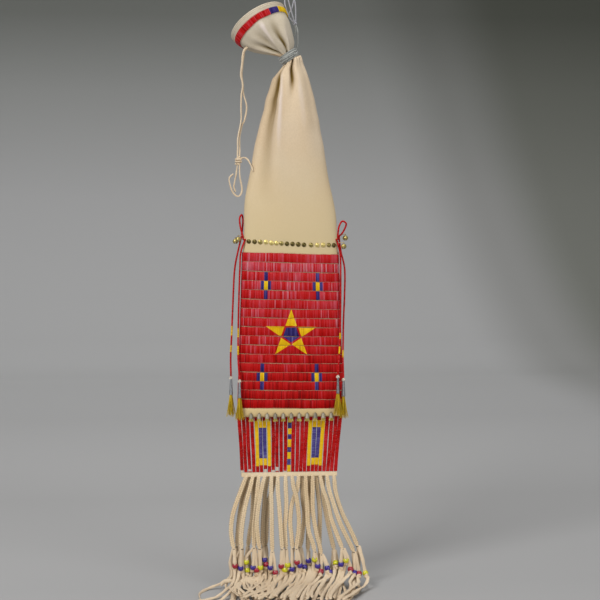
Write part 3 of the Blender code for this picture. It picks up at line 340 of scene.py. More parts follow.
HIDE = suede(
    "buckskin", (0.69, 0.555, 0.395), (0.66, 0.495, 0.315), (0.15, 0.085, 0.003), foot=(0.64, 0.51, 0.29)
)
FUNNEL_HIDE = suede("buckskin_mouth", (0.64, 0.56, 0.45), (0.56, 0.48, 0.355), (0.15, 0.095, 0.01))
WELT_HIDE = suede("buckskin_welt", (0.68, 0.525, 0.28), (0.60, 0.43, 0.20), (0.22, 0.15, 0.04))
BRAID_HIDE = suede("braided_hide", (0.90, 0.75, 0.53), (0.85, 0.66, 0.42), (0.32, 0.21, 0.09), 0.5)
THONG = suede("hide_thong", (0.74, 0.60, 0.43), (0.68, 0.53, 0.36), (0.30, 0.21, 0.10), 0.5)
PALE_THONG = suede("white_thong", (0.72, 0.66, 0.56), (0.66, 0.58, 0.47), (0.40, 0.33, 0.22), 0.5)
RAWHIDE = suede("rawhide", (0.66, 0.58, 0.47), (0.58, 0.50, 0.40), (0.36, 0.28, 0.20), 0.3)
RED = quill(
    "red_quill",
    (
        (0.0, (0.24, 0.001, 0.001)), (0.30, (0.45, 0.002, 0.001)), (0.55, (0.52, 0.014, 0.016)),
        (0.80, (0.55, 0.070, 0.100)), (1.0, (0.61, 0.24, 0.28))
    )
)
YELLOW = quill(
    "yellow_quill",
    (
        (0.0, (0.50, 0.26, 0.002)), (0.4, (0.76, 0.46, 0.006)), (0.75, (0.82, 0.55, 0.012)),
        (1.0, (0.86, 0.66, 0.10))
    )
)
BLUE = quill(
    "blue_quill",
    (
        (0.0, (0.012, 0.008, 0.07)), (0.45, (0.035, 0.022, 0.15)), (0.8, (0.09, 0.075, 0.27)),
        (1.0, (0.20, 0.20, 0.36))
    )
)
BRASS = old_metal("old_brass", (0.13, 0.10, 0.035), (0.74, 0.60, 0.22), 0.32, 0.62)
TIN = old_metal("dull_tin", (0.16, 0.17, 0.18), (0.50, 0.52, 0.54), 0.32, 0.58)
YARN = fibre("grey_yarn", (0.16, 0.165, 0.15), (0.44, 0.45, 0.42), (1, 1, 1))
LILAC_YARN = fibre("lilac_yarn", (0.19, 0.19, 0.21), (0.48, 0.48, 0.52), (1, 1, 1))
HAIR = fibre("yellow_hair", (0.30, 0.18, 0.001), (0.68, 0.47, 0.004), (1, 1, 0.05), 0.05, 0.6)
DOWN = fibre("yellow_down", (0.30, 0.24, 0.01), (0.72, 0.62, 0.16), (1, 1, 0.3), 0.2, 0.7)
SMALL_TIN = old_metal("tarnished_tin", (0.28, 0.255, 0.20), (0.60, 0.55, 0.44), 0.6, 0.85)
SINEW = fibre("tan_sinew", (0.30, 0.13, 0.08), (0.58, 0.37, 0.24), (1, 1, 1), 0.1, 0.6)
DARK_SINEW = fibre("dark_sinew", (0.05, 0.04, 0.035), (0.16, 0.13, 0.10), (1, 1, 1), 0.1, 0.6)
BEAD_FINISHES = {
    "red": glass_bead("crimson_bead", (0.25, 0.004, 0.02), (0.42, 0.01, 0.035)),
    "blue": glass_bead("blue_bead", (0.018, 0.008, 0.16), (0.05, 0.02, 0.32)),
    "yellow": glass_bead("yellow_bead", (0.50, 0.48, 0.006), (0.68, 0.66, 0.02)),
}


# Making pieces


def blank():
    """An empty bmesh whose points carry a tone."""
    bm = bmesh.new()
    bm.verts.layers.float.new("tone")
    return bm


def piece(name, bm, finishes, body="bag", stands_for=(), sharp=45):
    """Makes the bmesh a finished piece that rides on its body."""
    mesh = bpy.data.meshes.new(name)
    bm.to_mesh(mesh)
    bm.free()
    for used in finishes:
        mesh.materials.append(used)
    mesh.shade_smooth()
    mesh.set_sharp_from_angle(angle=math.radians(sharp))
    obj = bpy.data.objects.new(name, mesh)
    bpy.context.scene.collection.objects.link(obj)
    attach(obj, body)
    if stands_for:
        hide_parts(*stands_for)
    return obj


def through(points, step):
    """Points a step apart on a smooth curve through the given ones."""
    knots = [np.array(p, float) for p in points]
    knots = [2 * knots[0] - knots[1], *knots, 2 * knots[-1] - knots[-2]]
    fine = []
    for a, b, c, d in zip(knots, knots[1:], knots[2:], knots[3:]):
        for t in np.arange(0, 1, 1 / 16):
            fine.append(
                0.5
                * (
                    2 * b + (c - a) * t + (2 * a - 5 * b + 4 * c - d) * t**2
                    + (3 * b - a - 3 * c + d) * t**3
                )
            )
    fine.append(knots[-2])
    return respaced(np.array(fine), step)


def respaced(line, step):
    """Points about a step apart along a line."""
    run = np.concatenate([[0], np.cumsum(np.linalg.norm(np.diff(line, axis=0), axis=1))])
    at = np.linspace(0, run[-1], max(3, round(run[-1] / step) + 1))
    return np.stack([np.interp(at, run, line[:, k]) for k in range(3)], axis=1)


def carried(path, side, spin=0.0):
    """The direction along each point of a path, and a side carried along it."""
    along = np.gradient(path, axis=0)
    along /= np.maximum(np.linalg.norm(along, axis=1), 1e-12)[:, None]
    across = np.zeros_like(path)
    held = np.array(side, float)
    for i, way in enumerate(along):
        held = held - way * held.dot(way)
        held /= max(np.linalg.norm(held), 1e-12)
        across[i] = held
    deep = np.cross(across, along)
    if np.any(spin):
        turn = np.broadcast_to(spin, len(path))[:, None]
        across, deep = (
            across * np.cos(turn) + deep * np.sin(turn), deep * np.cos(turn) - across * np.sin(turn)
        )
    return along, across, deep


def roll(
    bm, path, width, depth, side=(1, 0, 0), sides=8, tone=0.0, square=2.0, spin=0.0, plies=0, lay=0.0,
    cap=0.35
):
    """Rolls a grid into a closed tube along a path, and closes its ends. Plies twist round it."""
    path = np.asarray(path, float)
    along, across, deep = carried(path, side, spin)
    count = len(path)
    wide, thick = (
        np.array(np.broadcast_to(width, count), float), np.array(np.broadcast_to(depth, count), float)
    )
    tones = np.array(np.broadcast_to(tone, count), float)
    run = np.concatenate([[0], np.cumsum(np.linalg.norm(np.diff(path, axis=0), axis=1))])
    target, bm = bm, blank()
    first, last = path[0] - along[0] * thick[0] * cap, path[-1] + along[-1] * thick[-1] * cap
    path = np.vstack([first, path, last])
    wide, thick = np.concatenate([[0], wide, [0]]), np.concatenate([[0], thick, [0]])
    across, deep = (np.vstack([a[:1], a, a[-1:]]) for a in (across, deep))
    tones, run = (np.concatenate([a[:1], a, a[-1:]]) for a in (tones, run))
    made = bmesh.ops.create_grid(bm, x_segments=sides, y_segments=count + 1, size=0.5)["verts"]
    flat = np.array([v.co for v in made])
    ring = np.rint((flat[:, 1] + 0.5) * (count + 1)).astype(int)
    angle = 2 * math.pi * (flat[:, 0] + 0.5)
    c, s = np.cos(angle), np.sin(angle)
    power = 2 / square
    c, s = np.sign(c) * np.abs(c) ** power, np.sign(s) * np.abs(s) ** power
    swell = (
        0.78 + 0.22 * np.abs(np.cos(plies / 2 * angle - math.pi * plies * run[ring] / lay)) if plies
        else 1.0
    )
    place = (
        path[ring] + across[ring] * (wide[ring] / 2 * c * swell)[:, None]
        + deep[ring] * (thick[ring] / 2 * s * swell)[:, None]
    )
    layer = bm.verts.layers.float["tone"]
    for vert, point, value in zip(made, place, tones[ring]):
        vert.co = point
        vert[layer] = value
    bmesh.ops.remove_doubles(bm, verts=made, dist=1e-7)
    shape = kept_shape(bm)
    target.from_mesh(shape)
    bpy.data.meshes.remove(shape)


def kept_shape(bm):
    """A bmesh as a mesh to lay copies of."""
    mesh = bpy.data.meshes.new("shape")
    bm.to_mesh(mesh)
    bm.free()
    return mesh


def lay_copy(bm, shape, place, tone, material=0):
    """Adds a copy of a shape, moved by a matrix."""
    start, faces = len(bm.verts), len(bm.faces)
    bm.from_mesh(shape)
    bm.verts.ensure_lookup_table()
    bm.faces.ensure_lookup_table()
    layer = bm.verts.layers.float["tone"]
    for vert in bm.verts[start:]:
        vert.co = place @ vert.co
        vert[layer] = tone
    for face in bm.faces[faces:]:
        face.material_index = material


def rounded_block(width, depth, height, edge):
    """A small block with its edges taken off."""
    bm = bmesh.new()
    bmesh.ops.create_cube(bm, size=1)
    bmesh.ops.scale(bm, vec=(width, depth, height), verts=bm.verts)
    bmesh.ops.bevel(bm, geom=bm.edges[:], affect="EDGES", offset=edge, segments=1, profile=0.5, material=-1)
    return kept_shape(bm)


def bevelled_unit(width, depth, height, edge):
    """A cube of size one that has the bevels of a block of the given size."""
    bm = bmesh.new()
    bmesh.ops.create_cube(bm, size=1)
    bmesh.ops.scale(bm, vec=(width, depth, height), verts=bm.verts)
    bmesh.ops.bevel(bm, geom=bm.edges[:], affect="EDGES", offset=edge, segments=1, profile=0.5, material=-1)
    bmesh.ops.scale(bm, vec=(1 / width, 1 / depth, 1 / height), verts=bm.verts)
    return kept_shape(bm)


def spun(profile, steps):
    """A shape turned from (radius, height) pairs about the vertical."""
    bm = bmesh.new()
    verts = [bm.verts.new((radius, 0, height)) for radius, height in profile]
    edges = [bm.edges.new(pair) for pair in zip(verts, verts[1:])]
    bmesh.ops.spin(
        bm, geom=verts + edges, cent=(0, 0, 0), axis=(0, 0, 1), angle=2 * math.pi, steps=steps,
        use_merge=True, use_duplicate=False
    )
    bmesh.ops.remove_doubles(bm, verts=bm.verts, dist=1e-7)
    bmesh.ops.recalc_face_normals(bm, faces=bm.faces)
    return kept_shape(bm)


def facing(place, axis, side=(1, 0, 0)):
    """A matrix that stands a shape at a place with its own Z along an axis."""
    z = Vector(axis).normalized()
    x = Vector(side) - z * Vector(side).dot(z)
    if x.length < 1e-6:
        x = Vector((0, 1, 0)) - z * z.y
    x.normalize()
    y = z.cross(x)
    turned = Matrix((x, y, z)).transposed().to_4x4()
    return Matrix.Translation(Vector(place)) @ turned


# Cords

ROUTES = {
    "hanging_loop": (
        (7.1, 15.0, -50.4), (0.5, 8.5, -30.0), (-4.5, 3.0, -13.0), (-4.4, 0.5, -4.1), (0.0, 0.0, -1.1),
        (4.4, 0.5, -4.1), (6.0, 3.0, -13.0), (9.0, 8.5, -30.0), (9.9, 15.0, -50.4)
    ),
    "hanging_cord": (
        (8.5, 15.0, -57.6), (9.5, 15.0, -67.0), (4.9, 17.2, -79.7), (4.5, 18.0, -93.0), (0.9, 16.6, -106.7)
    ),
    "hanging_second_loop": (
        (6.8, 16.4, -52.0), (1.0, 17.0, -46.5), (-1.2, 16.0, -41.0), (2.2, 13.0, -33.0), (5.2, 10.0, -24.0),
        (6.4, 6.0, -12.0), (3.6, 3.4, -3.6), (-1.4, 3.2, -1.4), (-7.0, 4.6, -9.0), (-8.4, 8.0, -22.0),
        (-5.6, 11.6, -33.0), (-1.6, 14.8, -43.0), (5.0, 17.4, -51.4)
    ),
    "hanging_second_cord": (
        (10.4, 15.6, -57.0), (12.8, 15.8, -66.0), (13.2, 16.4, -78.0), (12.6, 16.6, -90.0),
        (8.6, 14.6, -101.0)
    ),
    "drawstring_first_strand": (
        (-69.0, -0.6, -94.5), (-74.4, -1.2, -99.0), (-76.8, -1.2, -107.0), (-78.2, -1.0, -123.0),
        (-79.8, -1.0, -139.0), (-76.8, -1.0, -155.0), (-78.9, -1.0, -171.0), (-79.6, -1.0, -191.4),
        (-79.6, -1.0, -211.0), (-83.8, -1.5, -233.0), (-85.3, -2.0, -243.0), (-85.2, -2.0, -256.0),
        (-85.7, -2.0, -270.8)
    ),
    "drawstring_second_strand": (
        (-69.7, 5.6, -95.7), (-73.8, 3.8, -101.0), (-75.0, 2.8, -108.0), (-76.8, 2.4, -123.0),
        (-78.0, 2.4, -139.0), (-76.0, 2.4, -155.0), (-75.5, 2.4, -169.0), (-70.5, 2.0, -189.8),
        (-73.8, 2.4, -210.6), (-77.5, 2.4, -218.0), (-81.2, 2.0, -233.0), (-82.2, 1.6, -243.0),
        (-82.0, 1.0, -256.0), (-82.3, -1.6, -270.8)
    ),
    "drawstring_loop": (
        (-82.2, -2.0, -282.3), (-82.0, -3.0, -301.0), (-78.5, -3.0, -321.5), (-81.5, -3.0, -331.5),
        (-87.0, -3.0, -333.0), (-94.0, -3.0, -325.5), (-98.5, -2.0, -311.5), (-98.5, -1.0, -303.5),
        (-92.5, 0.0, -297.5)
    ),
    "drawstring_short_end": (
        (-85.8, -1.6, -282.3), (-87.6, 0.4, -298.0), (-91.2, 1.8, -317.0), (-89.0, 2.4, -326.0)
    ),
    "drawstring_tail": (
        (-79.6, -2.6, -273.0), (-75.5, -4.8, -271.2), (-69.5, -8.0, -274.5), (-64.0, -11.2, -284.5),
        (-61.2, -12.8, -292.5)
    ),
    "left_outer_thong": (
        (-76.6, -2.5, -403.0), (-77.5, -3.2, -396.5), (-81.2, -3.4, -382.0), (-82.2, -1.0, -369.0),
        (-78.7, 2.0, -363.0), (-76.7, 3.6, -371.0), (-77.7, 3.4, -386.0), (-79.7, 3.2, -400.0),
        (-85.0, 3.0, -423.0), (-90.5, 2.0, -453.0), (-93.3, 0.0, -506.0), (-95.5, -1.0, -557.0),
        (-97.2, -1.0, -592.0), (-96.8, -1.0, -624.0)
    ),
    "left_inner_thong": (
        (-73.8, -7.7, -402.0), (-80.8, -6.6, -424.0), (-82.2, -6.8, -448.0), (-84.0, -7.2, -498.0),
        (-85.2, -8.0, -548.0), (-85.6, -9.8, -593.0), (-83.5, -14.0, -628.0)
    ),
    "right_outer_thong": (
        (76.6, -2.5, -403.0), (77.2, -3.2, -390.0), (79.0, -3.2, -381.0), (84.0, -2.0, -373.5),
        (90.7, 0.0, -378.0), (86.6, 3.0, -389.5), (82.8, 3.6, -395.0), (79.7, 4.0, -400.0),
        (82.5, 3.0, -423.0), (88.5, 2.0, -452.0), (87.8, -2.0, -495.0), (86.0, -5.0, -530.0),
        (85.0, -8.0, -565.0), (84.5, -11.0, -600.0), (85.0, -14.0, -627.0)
    ),
    "right_inner_thong": (
        (73.8, -7.7, -402.0), (75.7, -7.6, -408.0), (80.0, -7.6, -427.0), (80.8, -8.4, -460.0),
        (80.5, -10.0, -520.0), (79.5, -12.0, -565.0), (77.2, -16.5, -596.0), (75.6, -20.0, -613.0),
        (75.2, -20.5, -621.5)
    ),
}
CORD_DIAMETER = 2.2 * MM
STRING_DIAMETER = 2.7 * MM
THONG_DIAMETER = 3.0 * MM
TALL_KNOT = 5.0 * MM
TALL_CONE_LENGTH = 24.5 * MM


def route(name, step):
    """Points a step apart along one of the named routes."""
    return through([[c * MM for c in point] for point in ROUTES[name]], step)


def length_of(path):
    """The length of a line of points, in metres."""
    return float(np.linalg.norm(np.diff(path, axis=0), axis=1).sum())


def knot_shape(size, tube, sides=7, points=44):
    """An overhand knot pulled tight, about as wide as the size."""
    bm = blank()
    turn = np.linspace(0, 2 * math.pi, points)
    line = np.stack(
        [np.sin(turn) + 2 * np.sin(2 * turn), np.cos(turn) - 2 * np.cos(2 * turn), -np.sin(3 * turn) * 1.3],
        axis=1
    )
    roll(bm, line * (size - tube) / 6.0, tube, tube, sides=sides)
    return kept_shape(bm)


def hanging_yarn():
    """The looped yarn at the top, its knot and the two runs down to the neck tie."""
    bm = blank()
    lay_copy(bm, knot_shape(8.0 * MM, 2.6 * MM), facing((0.0085, 0.0150, -0.0540), (0.3, 1, 0.2)), 0.5)
    knot = piece("hanging_knot_yarn", bm, [LILAC_YARN], stands_for=["hanging_knot"])
    runs = (
        ("hanging_loop", LILAC_YARN, 0.6, True), ("hanging_second_loop", LILAC_YARN, 0.75, False),
        ("hanging_cord", YARN, 0.5, True), ("hanging_second_cord", YARN, 0.65, False)
    )
    for index, (name, used, tone, solid) in enumerate(runs):
        path = route(name, 0.9 * MM)
        bm = blank()
        roll(bm, path, CORD_DIAMETER, CORD_DIAMETER, side=(0, 1, 0), sides=12, tone=tone, plies=3, lay=8 * MM)
        made = piece(name + "_yarn", bm, [used], stands_for=[name] if solid else [])


def drawstring():
    """The thong drawn through the mouth: two strands, their knot and the ends below it."""
    bm = blank()
    centre = np.array((-0.0840, -0.0020, -0.2764))
    turn = np.linspace(0.4, 2 * math.pi * 2.6, 90)
    wrap = (
        centre
        + np.stack(
            [np.cos(turn) * 4.4, np.sin(turn) * 3.4, np.linspace(4.4, -4.4, 90) + 0.8 * np.cos(turn)],
            axis=1
        )
        * MM
    )
    roll(
        bm, wrap, 3.6 * MM, 2.5 * MM, side=(0, 0, 1), sides=10, square=2.6,
        tone=0.05 + 0.1 * (np.sin(turn * 2) > 0.8)
    )
    core = centre + np.outer(np.linspace(6.0, -6.0, 12) * MM, UP)
    roll(bm, core, 6.0 * MM, 4.4 * MM, sides=9, tone=0.18)
    knot = piece("drawstring_tied_knot", bm, [THONG], stands_for=["drawstring_knot"])
    ends = {
        "first_strand": "object", "second_strand": "object",
        "loop": "bare", "short_end": "bare", "tail": "bare"
    }
    for index, (name, far_end) in enumerate(ends.items()):
        path = route("drawstring_" + name, 2.2 * MM)
        bm = blank()
        spin = np.linspace(0, 2.2 + index, len(path)) + 0.5 * index
        worn = 1 + 0.10 * np.sin(np.arange(len(path)) * 0.9 + index)
        roll(
            bm, path, STRING_DIAMETER * 1.05 * worn, STRING_DIAMETER * 0.8, side=(1, 0, 0), sides=10,
            tone=0.03 + 0.02 * index, square=3, spin=spin
        )
        made = piece(
            "drawstring_" + name + "_thong", bm, [THONG], stands_for=["drawstring_" + name],
        )


# Pendants

PENDANT_BANDS = {
    "left_outer": ((-0.5425, -0.5573), (-0.5738, -0.5847)),
    "left_inner": ((-0.5455, -0.5600), (-0.5745, -0.5882)),
    "right_inner": ((-0.5540, -0.5635), (-0.5760, -0.5875)),
    "right_outer": ((-0.5820, -0.5935),),
}


def hair_tuft(bm, top, length, spread, narrow, strands, seed, thick=0.75 * MM):
    """Dyed horsehair that hangs from a cone's mouth."""
    pick = random.Random(seed)
    top = np.array(top, float)
    for i in range(strands):
        angle = 2.4 * i + pick.uniform(-0.3, 0.3)
        share = math.sqrt((i + 0.5) / strands)
        out = np.array((math.cos(angle), math.sin(angle), 0.0))
        reach = length * pick.uniform(0.86, 1.0)
        sway = pick.uniform(-0.05, 0.05) * length
        points = [top + out * narrow * share * 0.6 + UP * 0.004]
        for k in (0.25, 0.5, 0.75, 1.0):
            wide = narrow * share + (spread - narrow) * share * k**1.2
            points.append(top + out * wide + np.array((sway * k * k, 0, -reach * k)))
        path = through(points, length / 6)
        taper = np.linspace(1.0, 0.35, len(path))
        roll(bm, path, thick * taper, thick * taper, sides=4, tone=pick.uniform(0.1, 1.0))


def tin_cone(bm, top, length, narrow, mouth, seed, wall=0.35 * MM):
    """A cone rolled from sheet tin, with its edge lapped over."""
    pick = random.Random(seed)
    grid = bmesh.ops.create_grid(bm, x_segments=22, y_segments=3, size=0.5)["verts"]
    start = pick.uniform(0, 6.28)
    layer = bm.verts.layers.float["tone"]
    tone = pick.uniform(0.25, 0.75)
    for vert in grid:
        turn, drop = (vert.co.x + 0.5) * 1.08, 0.5 - vert.co.y
        radius = narrow + (mouth - narrow) * drop + 0.25 * MM * turn
        radius *= 1 + 0.05 * math.sin(2 * (start + 2 * math.pi * turn) + seed)
        angle = start + 2 * math.pi * turn
        vert.co = (
            top[0] + radius * math.cos(angle), top[1] + radius * math.sin(angle), top[2] - length * drop
        )
        vert[layer] = tone + 0.15 * math.sin(angle * 2)
    faces = list({face for vert in grid for face in vert.link_faces})
    bmesh.ops.recalc_face_normals(bm, faces=faces)
    bmesh.ops.solidify(bm, geom=faces, thickness=wall)


def pendants():
    """Four thongs wrapped in quills, each with a knot, a tall tin cone and a tuft of hair."""
    for index, (name, bands) in enumerate(PENDANT_BANDS.items()):
        pick = random.Random(40 + index)
        line = route(name + "_thong", 1 * MM)
        end = line[-1]
        ridge = 1.5 * MM
        count = round(length_of(line) / ridge)
        path = respaced(line, length_of(line) / (count * 3))
        bulge = np.tile([0.86, 1.0, 0.99], len(path) // 3 + 1)[: len(path)]
        tones = np.repeat([pick.uniform(0.1, 0.6) for _ in range(len(path) // 3 + 1)], 3)[: len(path)]
        inner = np.linspace(end, end - UP * (TALL_KNOT + 0.010), 6)[1:]
        path = np.vstack([path, inner])
        bulge = np.concatenate([bulge, np.full(len(inner), 0.6)])
        tones = np.concatenate([tones, np.full(len(inner), 0.2)])
        bm = blank()
        roll(bm, path, THONG_DIAMETER * bulge, THONG_DIAMETER * bulge, side=(1, 0, 0), sides=8, tone=tones)
        for face in bm.faces:
            z = face.calc_center_median().z
            face.material_index = int(any(low <= z <= high for high, low in bands))
        thong = piece(
            name + "_wrapped_thong", bm, [RED, YELLOW], stands_for=[name + "_thong"]
        )
        top = end - UP * 0.0003
        bm = blank()
        lay_copy(bm, knot_shape(6.4 * MM, 2.3 * MM), facing(top - UP * TALL_KNOT / 2, (0.2, 1, 0.3)), 0.05)
        knot = piece(name + "_white_knot", bm, [PALE_THONG])
        bm = blank()
        mouth_z = top - UP * (TALL_KNOT + TALL_CONE_LENGTH)
        tin_cone(
            bm, top - UP * (TALL_KNOT - 0.0008), TALL_CONE_LENGTH + 0.0008, 1.55 * MM, 2.9 * MM, 60 + index
        )
        cone = piece(name + "_tin_cone", bm, [TIN], stands_for=[name + "_cone"])
        bm = blank()
        hair_tuft(bm, mouth_z, 0.0365, 7.6 * MM, 2.2 * MM, 96, 80 + index)
        hair = piece(name + "_hair", bm, [HAIR])


# Hide

NECK_Z = -0.1065
HIDE_ROWS = (
    (40.0, 0.3, 30.1, 22.0), (56.0, 0.0, 34.9, 24.4), (72.0, -0.7, 39.9, 26.2), (88.0, -0.6, 42.9, 27.2),
    (104.0, -1.1, 47.0, 27.8),
    (124.0, -2.0, 51.0, 27.5), (144.0, -2.1, 55.5, 26.9), (164.0, -2.5, 58.7, 26.0),
    (184.0, -2.6, 61.8, 25.0), (208.0, -2.9, 66.5, 23.3),
    (233.0, -2.2, 71.6, 21.5), (257.0, -0.8, 74.4, 19.8), (281.0, 0.0, 75.2, 18.0),
    (321.5, 0.0, 77.0, 14.5), (569.7, 0.0, 85.5, 10.0),
)
SHOULDER_ROWS = ((24.0, -1.1, 20, 24.2, 17.8), (9.0, 2.4, 30, 16.5, 14.4))
NECK_SAG = 2.8 * MM
NECK_LEAN = 32
MOUTH_ROWS = (
    (11.8, -8.2, 0.9, 7.6, 32, 4, 17.6), (18.0, -12.3, 1.8, 12.2, 32, 8, 22.8),
    (30.8, -21.5, 4.2, 20.8, 34, 13, 31.8),
    (45.2, -31.9, 7.5, 30.2, 34, 17, 39.9), (58.5, -41.4, 10.4, 39.3, 33, 20, 44.0),
    (73.8, -50.5, 13.6, 51.3, 31, 21.5, 49.0),
)
RIM = 73.8 * MM
HIDE_WALL = 1.6 * MM
PANEL_DROP = 321.5 * MM
LANE_PITCH = 14.6 * MM
LANE_COUNT = 17
PANEL_TOP = NECK_Z - PANEL_DROP
PANEL_FOOT = PANEL_TOP - LANE_COUNT * LANE_PITCH

# Folds: rows of (distance above the tie in mm, place round the hide in degrees, depth in mm,
# width in degrees)
FOLDS = (
    (
        (-10, 273, 2.8, 7.5), (-17, 275, 7.4, 7.5), (-26, 275, 8.6, 7.5), (-36, 273, 8.4, 7.5),
        (-47, 272, 6.0, 7.5), (-60, 272, 3.4, 8), (-80, 272, 1.2, 10), (-110, 271, 0, 12)
    ),
    (
        (-12, 216, 1.4, 10), (-29, 220, 5.5, 10), (-50, 226, 7.5, 9), (-66, 229, 7.5, 9),
        (-82, 229, 7.0, 10), (-97, 229, 6.4, 11), (-118, 231, 5.4, 12), (-153, 235, 4.6, 13),
        (-193, 240, 3.6, 15), (-225, 245, 2.2, 17), (-265, 248, 0.6, 18), (-290, 250, 0, 20)
    ),
    (
        (-20, 203, 0.6, 12), (-45, 210, 2.6, 14), (-66, 213, 3.2, 14), (-97, 216, 3.2, 15),
        (-153, 222, 2.6, 16), (-200, 228, 1.4, 18), (-250, 232, 0, 20)
    ),
    (
        (-14, 236, -0.6, 9), (-31, 238, -2.2, 8), (-66, 245, -3.2, 8), (-90, 246, -3.4, 8),
        (-114, 248, -3.2, 9), (-153, 251, -2.4, 10), (-201, 253, -1.0, 13), (-235, 254, 0, 15)
    ),
    (
        (-20, 292, -1.4, 12), (-58, 291, -2.2, 14), (-105, 294, -1.8, 18), (-153, 294, -0.8, 20),
        (-190, 294, 0, 20)
    ),
    ((-12, 326, 0.6, 10), (-35, 324, 1.2, 12), (-75, 322, 1.5, 14), (-130, 320, 1.0, 16), (-190, 320, 0, 16)),
    ((-12, 190, 1.0, 8), (-40, 188, 1.2, 10), (-85, 186, 0.8, 12), (-150, 185, 0, 14)),
    ((-12, 20, 1.2, 9), (-40, 24, 3.6, 10), (-90, 28, 3.0, 13), (-160, 32, 1.2, 16), (-220, 34, 0, 18)),
    ((-12, 70, 1.5, 8), (-35, 74, 5.5, 8), (-80, 78, 4.0, 11), (-140, 80, 1.4, 14), (-190, 82, 0, 15)),
    ((-12, 112, 1.2, 9), (-45, 110, 4.2, 10), (-95, 107, 3.2, 13), (-165, 104, 1.0, 17), (-230, 102, 0, 18)),
    ((-14, 150, 1.0, 9), (-42, 152, 3.4, 11), (-90, 154, 2.2, 13), (-150, 156, 0, 15)),
    (
        (6, 218, 1.2, 7), (13, 219, 4.6, 8), (20, 216, 7.0, 8), (27, 217, 6.6, 9), (35, 216, 4.0, 11),
        (45, 214, 1.4, 13), (60, 213, 0, 14)
    ),
    ((8, 204, -0.6, 7), (20, 200, -2.2, 8), (35, 199, -2.6, 9), (52, 199, -1.8, 10), (66, 200, 0, 12)),
    (
        (12, 232, 0.8, 8), (24, 239, 2.6, 10), (34, 242, 4.0, 12), (46, 243, 3.2, 13), (60, 243, 0.8, 15),
        (74, 244, 0, 15)
    ),
    (
        (5, 236, -0.8, 7), (15, 241, -2.2, 7), (31, 254, -3.4, 8), (50, 263, -3.8, 9), (60, 267, -1.4, 11),
        (74, 270, 0, 12)
    ),
    (
        (6, 272, 2.4, 6), (13, 276, 6.0, 7), (19, 280, 7.6, 8), (28, 281, 6.2, 10), (40, 284, 4.2, 13),
        (52, 288, 2.2, 14), (70, 292, 0, 15)
    ),
    (
        (6, 285, -1.0, 6), (13, 291, -1.8, 7), (20, 296, -2.2, 8), (34, 305, -1.6, 11), (52, 320, -0.6, 14),
        (66, 326, 0, 15)
    ),
    ((6, 334, 1.0, 8), (20, 338, 1.8, 11), (40, 340, 1.0, 14), (60, 340, 0, 15)),
    ((6, 190, 1.2, 9), (20, 188, 2.0, 11), (42, 186, 1.0, 14), (62, 186, 0, 16)),
    ((6, 5, 1.2, 9), (20, 4, 4.0, 11), (42, 2, 2.2, 14), (62, 0, 0, 16)),
    ((6, 48, 1.2, 9), (20, 50, 4.4, 10), (42, 52, 2.6, 13), (62, 53, 0, 15)),
    ((6, 95, 1.2, 9), (20, 94, 4.6, 10), (42, 92, 2.4, 13), (62, 91, 0, 15)),
    ((6, 140, 1.2, 9), (20, 142, 4.2, 10), (42, 144, 2.4, 13), (62, 146, 0, 15)),
)


def lean_axes(lean, back):
    """The directions across, through and along a part that leans left and back by angles in degrees."""
    left, rear = math.radians(lean), math.radians(back)
    across = np.array((math.cos(left), 0, math.sin(left)))
    axis = np.array((-math.sin(left), 0, math.cos(left)))
    deep = np.array((0, 1, 0)) * math.cos(rear) - axis * math.sin(rear)
    way = np.array((-math.sin(left) * math.cos(rear), math.sin(rear), math.cos(left) * math.cos(rear)))
    return across, deep, way


def hide_stations():
    """Sections of the hide from its foot to its rim.

    Each is (place along, centre, across, deep, half width, half depth, power).
    """
    made = []
    for drop, shift, wide, thick in reversed(HIDE_ROWS):
        power = 2 + 0.5 * min(1.0, drop / 281.0)
        made.append(
            (
                -drop * MM, (shift * MM, 0, NECK_Z - drop * MM), (1, 0, 0), (0, 1, 0), wide * MM,
                thick * MM, power
            )
        )
    for drop, shift, lean, wide, thick in SHOULDER_ROWS:
        across, deep, _ = lean_axes(lean, 0)
        made.append(
            (-drop * MM, (shift * MM, 0, NECK_Z - drop * MM), across, deep, wide * MM, thick * MM, 2.0)
        )
    across, deep, way = lean_axes(NECK_LEAN, 0)
    neck = np.array((-0.0027, 0, NECK_Z - NECK_SAG))
    for rise in (-6.3, 6.3):
        made.append((rise * MM, neck + way * rise * MM, across, deep, 12.8 * MM, 12.8 * MM, 2.0))
    for far, shift, rear, rise, lean, back, radius in MOUTH_ROWS:
        across, deep, _ = lean_axes(lean, back)
        made.append(
            (
                far * MM, (shift * MM, rear * MM, NECK_Z + rise * MM), across, deep, radius * MM,
                radius * MM, 2.0
            )
        )
    return made


def section(place):
    """The hide's section at any place along it, smooth through its stations."""
    rows = STATIONS
    places = [row[0] for row in rows]
    i = int(np.clip(np.searchsorted(places, place) - 1, 0, len(rows) - 2))
    picked = [rows[max(i - 1, 0)], rows[i], rows[i + 1], rows[min(i + 2, len(rows) - 1)]]
    t = (place - rows[i][0]) / (rows[i + 1][0] - rows[i][0])
    gap = rows[i + 1][0] - rows[i][0]
    out = []
    for k in range(1, 7):
        a, b, c, d = (np.array(row[k], float) for row in picked)
        before = (c - a) / max(picked[2][0] - picked[0][0], 1e-9) * gap
        after = (d - b) / max(picked[3][0] - picked[1][0], 1e-9) * gap
        low, high = np.minimum(b, c), np.maximum(b, c)
        value = (
            (2 * t**3 - 3 * t**2 + 1) * b + (t**3 - 2 * t**2 + t) * before + (3 * t**2 - 2 * t**3) * c
            + (t**3 - t**2) * after
        )
        if k >= 4:
            value = np.clip(value, low, high)
        out.append(value)
    centre, across, deep, wide, thick, power = out
    return (
        centre, across / np.linalg.norm(across), deep / np.linalg.norm(deep), float(wide), float(thick),
        float(power)
    )


